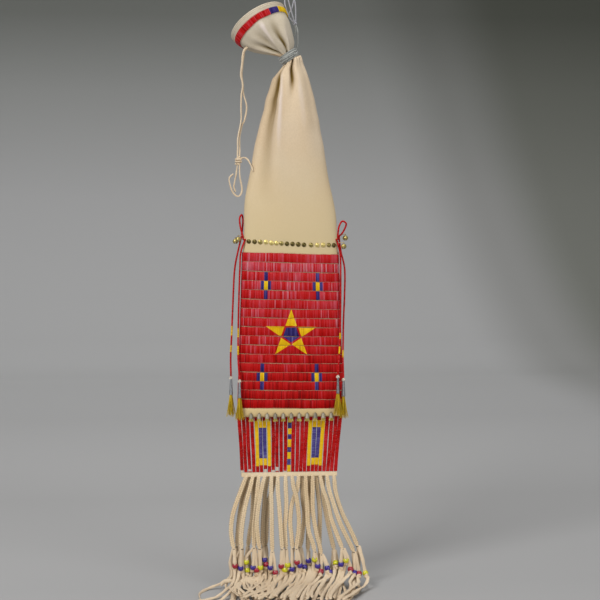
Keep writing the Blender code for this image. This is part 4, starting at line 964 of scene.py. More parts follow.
def fold_depth(place, angle):
    """How far the folds draw the hide in at a place, for an array of angles in degrees."""
    depth = np.zeros_like(angle)
    for rows in FOLDS:
        at = [row[0] * MM for row in rows]
        order = np.argsort(at)
        at = np.array(at)[order]
        table = np.array([row[1:] for row in rows], float)[order]
        if not at[0] - 0.02 < place < at[-1] + 0.02:
            continue
        where, deep, wide = (np.interp(place, at, table[:, k]) for k in range(3))
        if abs(place) < 0.008:
            deep *= abs(place) / 0.008
        off = (angle - where + 180) % 360 - 180
        depth += deep * np.exp(-((off / wide) ** 2))
    gather = 1.1 * math.exp(-((abs(place) - 0.009) / 0.011) ** 2)
    depth += gather * (0.5 + 0.5 * np.cos(np.radians(angle) * 19 + 0.6 * np.sin(np.radians(angle) * 5)))
    return depth * MM


def skin(place, angle, offset=0.0, folded=True):
    """Points on the hide at a place along it, for angles in degrees, moved outwards by an offset."""
    centre, across, deep, wide, thick, power = section(place)
    rad = np.radians(angle)

    def flat(turn):
        c, s = np.cos(turn), np.sin(turn)
        return wide * np.sign(c) * np.abs(c) ** (2 / power), thick * np.sign(s) * np.abs(s) ** (2 / power)

    x, y = flat(rad)
    (x0, y0), (x1, y1) = flat(rad - 0.01), flat(rad + 0.01)
    size = np.maximum(np.hypot(x1 - x0, y1 - y0), 1e-12)
    out_x, out_y = (y1 - y0) / size, (x0 - x1) / size
    shift = offset - (fold_depth(place, np.asarray(angle, float)) if folded else 0)
    return centre + np.outer(x + out_x * shift, across) + np.outer(y + out_y * shift, deep)


STATIONS = hide_stations()
SEGMENTS = 176


def hide_bag():
    """The one hide: the flat bag, its folds gathered into the tie, and the open mouth above it."""
    places = (
        list(np.arange(-0.5697, -0.33, 0.012)) + list(np.arange(-0.33, -0.12, 0.005))
        + list(np.arange(-0.12, -0.02, 0.0028)) + list(np.arange(-0.02, 0.02, 0.0015))
        + list(np.arange(0.02, RIM, 0.0025))
    )
    rows = [(place, 0.0) for place in places]
    rows += [
        (RIM + 0.0006, -0.05), (RIM + 0.0020, -0.3), (RIM + 0.0023, -0.5), (RIM + 0.0020, -0.7),
        (RIM + 0.0006, -0.95)
    ]
    rows += [(place, -1.0) for place in reversed(list(np.arange(0.004, RIM, 0.0035)))]
    angles = np.linspace(0, 360, SEGMENTS + 1)
    bm = blank()
    made = bmesh.ops.create_grid(bm, x_segments=SEGMENTS, y_segments=len(rows) + 1, size=0.5)["verts"]
    rings, tones = [], []
    for place, share in rows:
        within = min(place, RIM)
        points = skin(within, angles, share * HIDE_WALL)
        if place > RIM:
            points = points + lean_axes(*MOUTH_ROWS[-1][4:6])[2] * (place - RIM)
        depth = fold_depth(within, angles) / MM
        rings.append(points)
        # Painted shade in the creases, deeper with the fold and fading lower on the bag, and painted
        # highlight on the ridges
        strength = np.interp(
            within, [-0.30, -0.15, -0.105, -0.075, -0.05, 0.0], [0.30, 0.42, 0.55, 0.80, 1.0, 1.0]
        )
        shade = (
            np.clip((depth - 1.2) / 5.2, 0, 1.0) ** 1.3 * 0.97 * strength
            - np.clip((-depth - 1.4) / 7, 0, 0.30)
        )
        # Painted shade inside the mouth, darker further in towards the neck
        if share < -0.9:
            shade = np.clip(shade + 0.25 + 0.4 * (RIM - place) / RIM, 0, 0.85)
        tones.append(shade)
    foot = section(rows[0][0])[0]
    throat = section(rows[-1][0])[0]
    rings = [np.tile(foot, (SEGMENTS + 1, 1)), *rings, np.tile(throat, (SEGMENTS + 1, 1))]
    tones = [tones[0], *tones, tones[-1]]
    layer = bm.verts.layers.float["tone"]
    count = len(rings) - 1
    for vert in made:
        row, turn = round((vert.co.y + 0.5) * count), round((vert.co.x + 0.5) * SEGMENTS)
        vert.co = rings[row][turn]
        vert[layer] = tones[row][turn]
    bmesh.ops.remove_doubles(bm, verts=made, dist=1e-6)
    bmesh.ops.recalc_face_normals(bm, faces=bm.faces)
    rim = section(0.0)[0]
    for face in bm.faces:
        face.material_index = int(
            face.calc_center_median().z > NECK_Z + 0.001
            or (face.calc_center_median() - Vector(rim)).x < -0.03
            and face.calc_center_median().z > NECK_Z - 0.012
        )
    piece("buckskin_bag", bm, [HIDE, FUNNEL_HIDE], stands_for=["hide_bag"], sharp=80)


def rim_edge():
    """The turned edge round the mouth, and the quilled band under it."""
    angles = np.arange(0, 361, 2.5)
    way = lean_axes(*MOUTH_ROWS[-1][4:6])[2]
    bm = blank()
    line = skin(RIM, angles, -HIDE_WALL / 2) + way * 1.6 * MM
    roll(bm, line, 3.0 * MM, 2.9 * MM, side=way, sides=10, tone=0.02)
    roll(
        bm, skin(RIM - 0.0016, angles, -0.1 * MM) + way * 0.4 * MM, 1.3 * MM, 1.1 * MM, side=way, sides=6,
        tone=0.10
    )
    piece("mouth_turned_edge", bm, [FUNNEL_HIDE])
    shape = rounded_block(1.0, 0.9, 1.0, 0.2)
    colours = {
        "mouth_band_red": (40, 296, RED, "red_quill", 0.35),
        "mouth_band_blue": (296, 318, BLUE, "blue_quill", 0.3), "mouth_band_yellow": (
            318, 400, YELLOW, "yellow_quill", 0.5
        )
    }
    for name, (start, end, used, slot, base) in colours.items():
        pick = random.Random(name)
        bm = blank()
        count = round((end - start) / 2.05)
        for i in range(count):
            middle = start + (end - start) * (i + 0.5) / count
            wide = (end - start) / count * 0.97
            high = skin(RIM - 0.0060, np.array([middle - wide / 2, middle + wide / 2]), 1.0 * MM)
            low = skin(RIM - 0.0150, np.array([middle - wide / 2, middle + wide / 2]), 1.0 * MM)
            centre = (high.sum(0) + low.sum(0)) / 4
            x = Vector((high[1] + low[1] - high[0] - low[0]) / 2)
            z = Vector((high[0] + high[1] - low[0] - low[1]) / 2)
            y = z.cross(x).normalized() * 1.3 * MM
            turned = Matrix((x, y, z)).transposed().to_4x4()
            lay_copy(bm, shape, Matrix.Translation(Vector(centre)) @ turned, base + pick.uniform(-0.25, 0.35))
        piece(name + "_quills", bm, [used], stands_for=[name])


def neck_tie():
    """Grey yarn wound round the gathered neck."""
    centre, across, deep, *_ = section(0.0)
    axis = lean_axes(NECK_LEAN, 0)[2]
    bm = blank()
    pick = random.Random(5)
    count = 560
    at = np.linspace(0, 9.5, count)
    rise = np.interp(at, [0, 0.2, 5.6, 5.8, 7.2, 8.6, 9.5], [-6.4, -6.3, 6.2, 5.9, -4.4, 2.8, -2.4]) * MM
    reach = np.interp(at, [0, 5.6, 5.9, 9.3, 9.5], [14.0, 14.0, 15.3, 15.3, 14.2]) * MM
    angle = 2 * math.pi * at + 1.2
    line = (
        centre + np.outer(np.cos(angle) * reach, across) + np.outer(np.sin(angle) * reach, deep)
        + np.outer(rise, axis)
    )
    tones = 0.42 + 0.16 * np.sin(at * 9) + np.array([pick.uniform(-0.12, 0.12) for _ in range(count)])
    roll(bm, line, 2.4 * MM, 2.1 * MM, side=axis, sides=9, tone=tones, plies=3, lay=5 * MM)
    for _ in range(150):
        turn, height = pick.uniform(0, 2 * math.pi), pick.uniform(-6.5, 6.5) * MM
        out = across * math.cos(turn) + deep * math.sin(turn)
        along = across * -math.sin(turn) + deep * math.cos(turn)
        start = centre + out * 15.6 * MM + axis * height
        lift = np.array(out) * pick.uniform(0.5, 1.5) * MM
        way = along * pick.uniform(-2.6, 2.6) * MM + axis * pick.uniform(-1.6, 1.6) * MM
        roll(
            bm, np.array([start, start + lift * 0.8 + way * 0.5, start + lift + way]), 0.28 * MM, 0.28 * MM,
            sides=3, tone=0.8
        )
    piece("neck_tie_yarn", bm, [YARN], stands_for=["neck_tie"])


# Quill panels

STAR_LANE, STAR_LANES = 6, 5
CROSS_PLACES = ((-41.5, 2), (43.8, 2), (-45, 12), (40, 12))
CROSS_ARM, CROSS_SPAN, CROSS_CENTRE = 6.0 * MM, 17.0 * MM, 6.5 * MM
STAR_RADIUS = STAR_LANES * LANE_PITCH / (1 + math.cos(math.radians(36)))
STAR_WAIST = STAR_RADIUS * math.cos(math.radians(72)) / math.cos(math.radians(36))
STAR_HEART = STAR_LANE * LANE_PITCH + STAR_RADIUS
STAR_STRETCH = 1.08
STAR_CUTS = (-1.9 * MM, 0.0, 0.9 * MM)
LANE_TONES = (
    0.60, 0.72, 0.58, 0.62, 0.54, 0.54, 0.56, 0.54, 0.50, 0.48, 0.44, 0.34, 0.34, 0.30, 0.30, 0.27, 0.24
)


def arc_table():
    """Share of the way round half of the hide against the angle, near the middle of the panel."""
    angles = np.linspace(180, 360, 721)
    points = skin(-0.44, angles, 0.001, folded=False)
    run = np.concatenate([[0], np.cumsum(np.linalg.norm(np.diff(points, axis=0), axis=1))])
    return angles, run / run[-1] * 2 - 1, run[-1] / 2


ARC_ANGLES, ARC_SHARES, HALF_ARC = arc_table()


def wrapped(points, back=False):
    """Moves flat points (across, off, down) of a panel onto the hide's front or back."""
    points = np.asarray(points, float)
    across, off, down = points[:, 0], points[:, 1], points[:, 2]
    angle = np.interp(across / HALF_ARC, ARC_SHARES, ARC_ANGLES)
    share = down / (LANE_COUNT * LANE_PITCH)
    top_row, foot_row = HIDE_ROWS[-2], HIDE_ROWS[-1]
    wide = (top_row[2] + (foot_row[2] - top_row[2]) * share) * MM
    thick = (top_row[3] + (foot_row[3] - top_row[3]) * share) * MM
    rad = np.radians(angle)
    c, s = np.cos(rad), np.sin(rad)
    power = 2 / 2.5
    x, y = wide * np.sign(c) * np.abs(c) ** power, thick * np.sign(s) * np.abs(s) ** power
    nx, ny = np.sign(c) * np.abs(c) ** (2 - power) / wide, np.sign(s) * np.abs(s) ** (2 - power) / thick
    size = np.maximum(np.hypot(nx, ny), 1e-12)
    x, y = x + nx / size * off, y + ny / size * off
    if back:
        x, y = -x, -y
    z = PANEL_TOP - down + 3.0 * MM * (1 - share) ** 3 - (0.029 - 0.016 * share) * x * (-1 if back else 1)
    return np.stack([x, y, z], axis=1)


def lane_cuts(lane, width, front):
    """Where the quills of a lane meet, from left to right, with a cut at each edge of a cross."""
    edges = [-width, width]
    if front:
        for x, first in CROSS_PLACES:
            row = lane - first
            x = x * MM * 1.01
            if row in (0, 2):
                edges += [x - CROSS_ARM / 2, x + CROSS_ARM / 2]
            elif row == 1:
                edges += [x - CROSS_SPAN / 2, x - CROSS_CENTRE / 2, x + CROSS_CENTRE / 2, x + CROSS_SPAN / 2]
    edges = sorted(edges)
    cuts = [edges[0]]
    for low, high in zip(edges, edges[1:]):
        count = max(1, round((high - low) / (1.65 * MM)))
        cuts += [low + (high - low) * (i + 1) / count for i in range(count)]
    return cuts


def cross_dye(lane, x):
    """The place of a quill's colour among red, yellow and blue."""
    for middle, first in CROSS_PLACES:
        off = abs(x - middle * MM * 1.01)
        if lane - first in (0, 2) and off < CROSS_ARM / 2:
            return 2
        if lane - first == 1 and off < CROSS_SPAN / 2:
            return 1 if off < CROSS_CENTRE / 2 else 2
    return 0


def star_side(x, down):
    """How far a point lies outside each of the star's five lines."""
    outs = []
    for i in range(5):
        angle = math.pi / 2 + 2 * math.pi * i / 5
        outs.append(
            x / STAR_STRETCH * math.cos(angle) + (STAR_HEART - down) * math.sin(angle)
            - STAR_WAIST * math.cos(math.radians(36))
        )
    return outs


def from_heart(face):
    """How far a face's middle lies from the middle of the star, on the flat panel."""
    middle = face.calc_center_median()
    return math.hypot(middle.x, middle.z - STAR_HEART)


def quill_panel(name, front, stands_for):
    """One panel of seventeen lanes: folded quills side by side, with the sewing threads between lanes."""
    pick = random.Random(name)
    shape = bevelled_unit(1.9, 1.2, 13.9, 0.42)
    width = HALF_ARC * 0.985
    bm = blank()
    for lane in range(LANE_COUNT):
        cuts = lane_cuts(lane, width, front)
        drift = pick.uniform(-0.3, 0.3)
        for low, high in zip(cuts, cuts[1:]):
            middle, wide = (low + high) / 2, (high - low)
            drift = 0.8 * drift + pick.uniform(-0.12, 0.12)
            tall = LANE_PITCH - 0.55 * MM + pick.uniform(-0.35, 0.15) * MM
            down = (
                (lane + 0.5) * LANE_PITCH + 0.3 * MM * math.sin(middle * 60 + 2.3 * lane)
                + pick.uniform(-0.15, 0.15) * MM
            )
            off = 1.05 * MM + pick.uniform(-0.14, 0.14) * MM
            lean = pick.uniform(-0.012, 0.012)
            place = (
                Matrix.Translation((middle, off, down)) @ Matrix.Rotation(lean, 4, "Y")
                @ Matrix.Diagonal((wide, 1.35 * MM, tall, 1))
            )
            if front:
                faded = LANE_TONES[lane]
                dye = cross_dye(lane, middle)
            else:
                faded, dye = 0.36, 0
            tone = (
                faded + drift * 0.35 + pick.choice((-0.24, -0.15, -0.06, 0.0, 0.05, 0.11, 0.16))
                + (0.20 if pick.random() < faded * 0.16 else 0)
            )
            lay_copy(bm, shape, place, tone if dye == 0 else 0.45 + pick.uniform(-0.25, 0.35), dye)
    if front:
        for i in range(5):
            angle = math.pi / 2 + 2 * math.pi * i / 5
            across, up = math.cos(angle), math.sin(angle)
            for cut in STAR_CUTS:
                reach = STAR_WAIST * math.cos(math.radians(36)) + cut
                near = [f for f in bm.faces if from_heart(f) < STAR_RADIUS * 1.25]
                geom = (
                    near + list({e for f in near for e in f.edges})
                    + list({v for f in near for v in f.verts})
                )
                bmesh.ops.bisect_plane(
                    bm, geom=geom, dist=1e-7,
                    plane_co=(across * reach * STAR_STRETCH, 0, STAR_HEART - up * reach),
                    plane_no=(across / STAR_STRETCH, 0, -up)
                )
        for face in bm.faces:
            if from_heart(face) > STAR_RADIUS * 1.12:
                continue
            middle = face.calc_center_median()
            outs = star_side(middle.x, middle.z)
            beyond = [value for value in outs if value > 0]
            if max(outs) < STAR_CUTS[0]:
                face.material_index = 2
            elif len(beyond) == 1 and beyond[0] > STAR_CUTS[2]:
                face.material_index = 1
    flat = np.array([v.co for v in bm.verts])
    for vert, point in zip(bm.verts, wrapped(flat, not front)):
        vert.co = point
    bmesh.ops.recalc_face_normals(bm, faces=bm.faces)
    piece(name, bm, [RED, YELLOW, BLUE], stands_for=stands_for, sharp=50)
    bm = blank()
    for boundary in range(LANE_COUNT + 1):
        across = np.arange(-width, width, 2.6 * MM)
        lift = (
            1.42 * MM + 0.26 * MM * np.sin(np.arange(len(across)) * 2.1 + boundary)
            + 0.12 * MM * np.sin(np.arange(len(across)) * 0.37 + boundary)
        )
        sway = (
            0.3 * MM * np.sin(across * 60 + 2.3 * boundary - 1.1)
            + 0.2 * MM * np.sin(np.arange(len(across)) * 0.9 + 1.7 * boundary)
        )
        outside = np.sum([np.array(lines) > 0 for lines in star_side(across, boundary * LANE_PITCH)], axis=0)
        lift = np.where(front & (outside <= 1), 0.4 * MM, lift)
        points = np.stack([across, lift, boundary * LANE_PITCH + sway], axis=1)
        roll(bm, wrapped(points, not front), 0.52 * MM, 0.5 * MM, side=(0, 0, 1), sides=5, tone=0.5)
    piece(name + "_threads", bm, [SINEW])


# Brass spots


def brass_spots():
    """Sixteen small domed spots sewn in a row above the front panel."""
    shape = spun(
        (
            (0.0, 1.5), (0.9, 1.42), (1.9, 1.15), (2.7, 0.65), (3.1, 0.35), (3.5, 0.32), (3.55, 0.15),
            (3.4, 0.0), (0.0, 0.0)
        ),
        20
    )
    tones = (0.10, 0.16, 0.40, 0.84, 0.95, 0.84, 0.44, 0.05, 0.02, 0.10, 0.05, 0.40, 0.84, 0.92, 0.34, 0.12)
    bm = blank()
    pick = random.Random(5)
    place = -(PANEL_DROP - 18.6 * MM)
    for i, x in enumerate(
        (
            -68.0, -58.8, -49.9, -40.7, -31.9, -24.0, -16.1, -7.1, 1.9, 11.1, 20.3, 31.9, 42.0, 51.7, 60.9,
            69.4
        )
    ):
        x = x * MM
        _, _, _, wide, thick, power = section(place)
        angle = (
            270
            + math.degrees(
                math.copysign(math.pi / 2 - math.acos(min(0.999, abs(x) / wide) ** (power / 2)), x)
            )
        )
        inner, outer = (skin(place, np.array([angle]), off * MM)[0] for off in (0.4, 1.4))
        foot = (
            inner
            - UP * (3.7 * MM * math.tanh((x + 0.022) / 0.050) - 1.1 * MM + pick.uniform(-0.3, 0.3) * MM)
        )
        size = MM * pick.uniform(1.0, 1.08)
        lay_copy(bm, shape, facing(foot, outer - inner) @ Matrix.Diagonal((size, size, size, 1)), tones[i])
    piece("sewn_brass_spots", bm, [BRASS], stands_for=["brass_spots"], sharp=60)


# Welt, slats and small cones

WELT_TOP, WELT_FOOT = PANEL_FOOT - 0.3 * MM, PANEL_FOOT - 14.3 * MM
SLAT_TOP = WELT_FOOT - 0.3 * MM
SLAT_LENGTH = 90.5 * MM
SLAT_FOOT = SLAT_TOP - SLAT_LENGTH - 4.5 * MM
R, Y, B = 0, 1, 2
PLAIN = ((90.5, R),)
EDGE = ((7.2, R), (80.2, Y), (90.5, R))
INNER = ((7.2, R), (17.0, Y), (67.9, B), (78.6, Y), (90.5, R))
MIDDLE = ((10.5, Y), (18.8, B), (29.8, Y), (37.8, B), (49.6, Y), (57.7, B), (69.2, Y), (79.2, B), (90.5, Y))
HALF_PATTERN = [PLAIN] * 4 + [EDGE, INNER, INNER, EDGE] + [PLAIN] * 4
SLAT_PATTERN = HALF_PATTERN + [MIDDLE] + HALF_PATTERN


def welt():
    """The folded hide strip at the foot of the bag, a little scalloped below."""
    angles = np.linspace(0, 360, 145)
    levels = (
        (0.0, -0.8), (0.0, 1.2), (0.05, 1.9), (0.2, 2.4), (0.5, 2.5), (0.8, 2.4), (0.95, 1.9), (1.0, 1.2),
        (1.0, -0.8)
    )
    bm = blank()
    made = bmesh.ops.create_grid(bm, x_segments=144, y_segments=len(levels) + 1, size=0.5)["verts"]
    rings = []
    for share, offset in levels:
        points = skin(-0.5697, angles, offset * MM, folded=False)
        scallop = 0.9 * MM * np.abs(np.sin(points[:, 0] / 0.013 * math.pi)) * max(0.0, share - 0.5) * 2
        points[:, 2] = (
            WELT_TOP + (WELT_FOOT - WELT_TOP) * share + scallop - 0.012 * points[:, 0] * (1 - share)
        )
        rings.append(points)
    top, foot = np.array((0, 0, WELT_TOP)), np.array((0, 0, WELT_FOOT))
    rings = [np.tile(top, (145, 1)), *rings, np.tile(foot, (145, 1))]
    count = len(rings) - 1
    layer = bm.verts.layers.float["tone"]
    for vert in made:
        row, turn = round((vert.co.y + 0.5) * count), round((vert.co.x + 0.5) * 144)
        vert.co = rings[row][turn]
        vert[layer] = 0.12 if row > 6 else 0.0
    bmesh.ops.remove_doubles(bm, verts=made, dist=1e-6)
    bmesh.ops.recalc_face_normals(bm, faces=bm.faces)
    piece("welt_strip", bm, [WELT_HIDE], stands_for=["bottom_welt"], sharp=60)


def bar_edges(bar, z):
    """The left and right edge of a slat at a level."""
    share = (SLAT_TOP - z) / (SLAT_TOP - SLAT_FOOT)
    half = (85.0 + (78.0 - 85.0) * share) * MM
    pitch = (2 * half + 2.2 * MM) / 25
    sway = 0.55 * MM * math.sin(1.7 * bar + 3.0 * share) * math.sin(math.pi * share)
    start = bar * pitch - half + sway - (1.2 + 1.6 * share) * MM
    return start, start + pitch - 2.2 * MM


def slats():
    """Rawhide bars cut in one piece, each wrapped with coloured quills."""
    bm = blank()
    pick = random.Random(9)
    for bar in range(25):
        levels = np.linspace(SLAT_TOP, SLAT_FOOT, 9)
        line = np.array([((sum(bar_edges(bar, z))) / 2, 0.0, z) for z in levels])
        wide = np.array([bar_edges(bar, z)[1] - bar_edges(bar, z)[0] for z in levels])
        roll(bm, line, wide * 0.92, 1.4 * MM, side=(1, 0, 0), sides=8, square=6, tone=0.1, cap=0.05)
    for z in (SLAT_TOP - 2.2 * MM, SLAT_FOOT + 2.2 * MM):
        left, right = bar_edges(0, z)[0], bar_edges(24, z)[1]
        line = np.array([(x, 0.0, z) for x in np.linspace(left, right, 30)])
        roll(bm, line, 4.2 * MM, 1.4 * MM, side=(0, 0, 1), sides=8, square=6, tone=0.1, cap=0.05)
    piece("rawhide_bars", bm, [RAWHIDE], stands_for=["rawhide_slats"])
    bm = blank()
    shape = bevelled_unit(5.2, 2.2, 1.6, 0.42)
    pitch = 1.62 * MM
    # Bars with bare rawhide at their feet: from and to, in mm below the bar's top
    missing = {8: (84, 91), 9: (80, 91), 6: (86, 91), 11: (87, 91), 0: (88, 91), 2: (86, 91)}
    for bar, fields in enumerate(SLAT_PATTERN):
        count = round(SLAT_LENGTH / pitch)
        drift = pick.uniform(-0.1, 0.1)
        for i in range(count):
            drop = (i + 0.5) / count * SLAT_LENGTH
            low, high = missing.get(bar, (200, 0))
            if low <= drop / MM <= high and pick.random() < 0.7:
                continue
            dye = next(colour for end, colour in fields if drop <= end * MM)
            z = SLAT_TOP - drop
            left, right = bar_edges(bar, z)
            drift = 0.85 * drift + pick.uniform(-0.07, 0.07)
            wide = (right - left) * ((1.31 if bar < 12 else 1.38) + pick.uniform(-0.04, 0.05))
            place = (
                Matrix.Translation(((left + right) / 2, pick.uniform(-0.06, 0.06) * MM, z))
                @ Matrix.Rotation(pick.uniform(-0.05, 0.05), 4, "Y")
                @ Matrix.Diagonal((wide, 2.15 * MM, pitch * 1.03, 1))
            )
            base = {R: 0.26 + (0.10 if bar > 12 else 0.0), Y: 0.5, B: 0.62}[dye]
            lay_copy(bm, shape, place, base + drift + pick.uniform(-0.14, 0.16), dye)
    piece("slat_quill_wraps", bm, [RED, YELLOW, BLUE])


def small_cones():
    """Eleven short tin cones with a tuft of down, each on its own swing."""
    for index in range(1, 12):
        name = f"small_cone_{index:02d}"
        low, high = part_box(name)
        x, y = (low.x + high.x) / 2, (low.y + high.y) / 2
        top = np.array((x, y, high.z - 1.6 * MM))
        bm = blank()
        tin_cone(bm, top, 7.8 * MM, 1.8 * MM, 2.95 * MM, 200 + index, 0.3 * MM)
        roll(
            bm, np.array([top + UP * 1.6 * MM, top, top - UP * 2 * MM]), 1.4 * MM, 1.4 * MM, sides=6,
            tone=0.1
        )
        piece(name + "_tin", bm, [SMALL_TIN], body=name, stands_for=[name])
        bm = blank()
        hair_tuft(bm, top - UP * 6.6 * MM, 6.4 * MM, 4.3 * MM, 2.4 * MM, 44, 300 + index, 0.7 * MM)
        piece(name + "_down", bm, [DOWN], body=name)


# Bells

BELLS = {
    "left_front_bell": ((-85.0, -9.0, -396.5), (-77.5, -3.2, -396.5)),
    "left_rear_bell": ((-88.5, 10.5, -400.0), (-79.7, 3.2, -400.0)),
    "right_front_bell": ((85.0, -14.0, -408.0), (75.7, -7.6, -408.0)),
    "right_rear_bell": ((90.5, 11.0, -395.0), (82.8, 3.6, -395.0)),
}


def bells():
    """Round slit bells with a belt and a shank, each on a lace from a pendant's thong."""
    radius = 4.4 * MM
    for name, (top, hold) in BELLS.items():
        top, hold = np.array(top) * MM, np.array(hold) * MM
        middle = top + UP * (0.7 * MM - 2.2 * MM - radius)
        bm = blank()
        bmesh.ops.create_uvsphere(bm, u_segments=28, v_segments=18, radius=radius)
        for side in (-0.5, 0.5):
            bmesh.ops.bisect_plane(
                bm, geom=bm.verts[:] + bm.edges[:] + bm.faces[:], dist=1e-8, plane_co=(side * MM, 0, 0),
                plane_no=(1, 0, 0)
            )
        slit = [
            f for f in bm.faces
            if abs(f.calc_center_median().x) < 0.5 * MM and f.calc_center_median().z < -radius * 0.35
        ]
        holes = [
            f for f in bm.faces
            if abs(abs(f.calc_center_median().y) - radius * 0.80) < 0.55 * MM
            and abs(f.calc_center_median().x) < 1.1 * MM and f.calc_center_median().z < 0 and f not in slit
        ]
        bmesh.ops.delete(bm, geom=slit + holes, context="FACES")
        for vert in bm.verts:
            if abs(vert.co.z) < 0.5 * MM:
                vert.co.x *= 1.08
                vert.co.y *= 1.08
        bmesh.ops.recalc_face_normals(bm, faces=bm.faces)
        bmesh.ops.solidify(bm, geom=bm.faces[:], thickness=0.35 * MM)
        bmesh.ops.translate(bm, vec=middle, verts=bm.verts)
        layer = bm.verts.layers.float["tone"]
        for vert in bm.verts:
            vert[layer] = 0.55
        turn = np.linspace(0, 2 * math.pi, 15)
        ring = (
            top
            + np.stack([np.zeros(15), np.cos(turn) * 1.3 * MM, np.sin(turn) * 1.3 * MM - 0.6 * MM], axis=1)
        )
        roll(bm, ring, 0.7 * MM, 0.7 * MM, side=(1, 0, 0), sides=6, tone=0.4)
        piece(name + "_brass", bm, [BRASS], body=name, stands_for=[name])
        bm = blank()
        way = (hold - top) / np.linalg.norm(hold - top)
        end = hold - way * 2.1 * MM
        sag = [top - way * 1.2 * MM, top, (top + end) / 2 + UP * 0.1 * MM, end]
        roll(bm, through(sag, 1 * MM), 1.2 * MM, 1.0 * MM, side=UP, sides=7, square=3, tone=0.6)
        piece(name + "_lace", bm, [THONG], body=name)


# Fringe

BAND_TOP, BAND_FOOT = SLAT_FOOT + 4.0 * MM, SLAT_FOOT - 3.0 * MM

# Braids, from their roots at the band down to their tied ends, in mm
FRONT_BRAIDS = (
    (
        (-72.5, -2, -787), (-80.4, -3, -808), (-88, -5, -828), (-94.8, -5, -850), (-97.6, -6, -874),
        (-95.6, -6, -893), (-93, -6, -906)
    ),
    (
        (-61.5, -2, -787), (-66.2, -5, -805), (-71.9, -8, -825), (-76.1, -10, -843), (-79.5, -11, -865),
        (-81.6, -11, -888), (-80.4, -11, -905)
    ),
    (
        (-52, -2, -787), (-53.9, -3, -804), (-55.5, -5, -820), (-57.5, -5, -842), (-59.8, -6, -862),
        (-60.7, -6, -883), (-59.8, -6, -905)
    ),
    (
        (-42, -2, -787), (-47, -5, -805), (-51.1, -8, -825), (-54.8, -10, -847), (-55.8, -11, -868),
        (-53.8, -11, -889), (-51.1, -11, -906)
    ),
    (
        (-31.3, -2, -787), (-32.2, -4, -808), (-31.7, -5, -833), (-31.3, -6, -859), (-31.2, -6, -883),
        (-30.4, -6, -912)
    ),
    (
        (-20.8, -2, -787), (-21.4, -6, -808), (-19.7, -9, -832), (-17.8, -10, -858), (-16.2, -11, -883),
        (-14.5, -11, -907)
    ),
    (
        (-8.5, -2, -787), (-8.1, -3, -809), (-7.2, -4, -829), (-8.2, -5, -851), (-9.8, -6, -870),
        (-8.8, -6, -892), (-8, -6, -908)
    ),
    (
        (2, -2, -787), (4.4, -5, -806), (8.3, -7, -819), (10.9, -9, -836), (12.8, -10, -856),
        (12.1, -11, -876), (9.8, -11, -894), (8.5, -11, -907)
    ),
    (
        (13.2, -2, -787), (11.1, -1, -809), (5.8, -1, -822), (0.9, -3, -839), (-1.1, -5, -863),
        (0.4, -6, -881), (2.2, -6, -898), (2.8, -6, -907)
    ),
    (
        (24.5, -2, -787), (24.5, -5, -809), (26, -7, -829), (26.6, -9, -845), (27.3, -10, -863),
        (29.7, -11, -881), (35.3, -11, -897), (38.7, -11, -912)
    ),
    (
        (36, -2, -787), (36, -3, -810), (35.6, -4, -830), (36.5, -5, -850), (39.2, -6, -868),
        (42.5, -6, -885), (46.6, -6, -901), (50, -6, -918)
    ),
    (
        (48, -2, -787), (52.7, -4, -810), (58.1, -5, -824), (62, -6, -838), (65.6, -8, -857),
        (72.1, -10, -876), (78.9, -11, -894), (84.5, -11, -908)
    ),
    (
        (59.5, -2, -787), (62.4, -7, -810), (68.4, -10, -830), (73.7, -12, -847), (80.6, -12, -866),
        (87.5, -10, -881), (95.6, -7, -897), (103.9, -6, -915)
    ),
    (
        (71, -2, -787), (72.8, -3, -810), (76.6, -4, -827), (81, -4, -841), (87.6, -4, -857),
        (95.5, -3, -873), (103.1, -2, -889), (110.2, -2, -906)
    ),
)
BACK_BRAIDS = (
    ((-67, 3, -787), (-77, 5, -820), (-81.3, 6, -841), (-84.3, 7, -864), (-86.3, 7, -885), (-87, 7, -905)),
    (
        (-57, 3, -787), (-60.1, 7, -807), (-60.7, 10, -831), (-62.3, 12, -859), (-66.4, 12, -884),
        (-69, 12, -906)
    ),
    ((-37, 3, -787), (-40.7, 5, -812), (-42.2, 6, -833), (-44.3, 7, -858), (-45.2, 7, -886), (-44, 7, -906)),
    (
        (-26, 3, -787), (-29.8, 7, -812), (-36.1, 10, -835), (-38, 12, -859), (-38.8, 12, -887),
        (-40.1, 12, -905)
    ),
    (
        (18.5, 3, -787), (20.3, 4, -826), (22.8, 6, -846), (22.6, 6, -864), (20.6, 7, -879),
        (18.9, 7, -892), (16.2, 7, -908)
    ),
    ((30.5, 3, -787), (30.9, 7, -822), (30.2, 11, -855), (30, 12, -885), (29.5, 12, -915)),
    (
        (42.5, 3, -787), (44.5, 4, -810), (46.5, 6, -826), (48.3, 6, -846), (48.7, 7, -867), (48, 7, -887),
        (48.4, 7, -906)
    ),
    (
        (53.5, 3, -787), (53.2, 6, -813), (55.7, 9, -834), (59.6, 11, -854), (63.7, 12, -875),
        (68.6, 12, -896), (73.2, 12, -915)
    ),
)

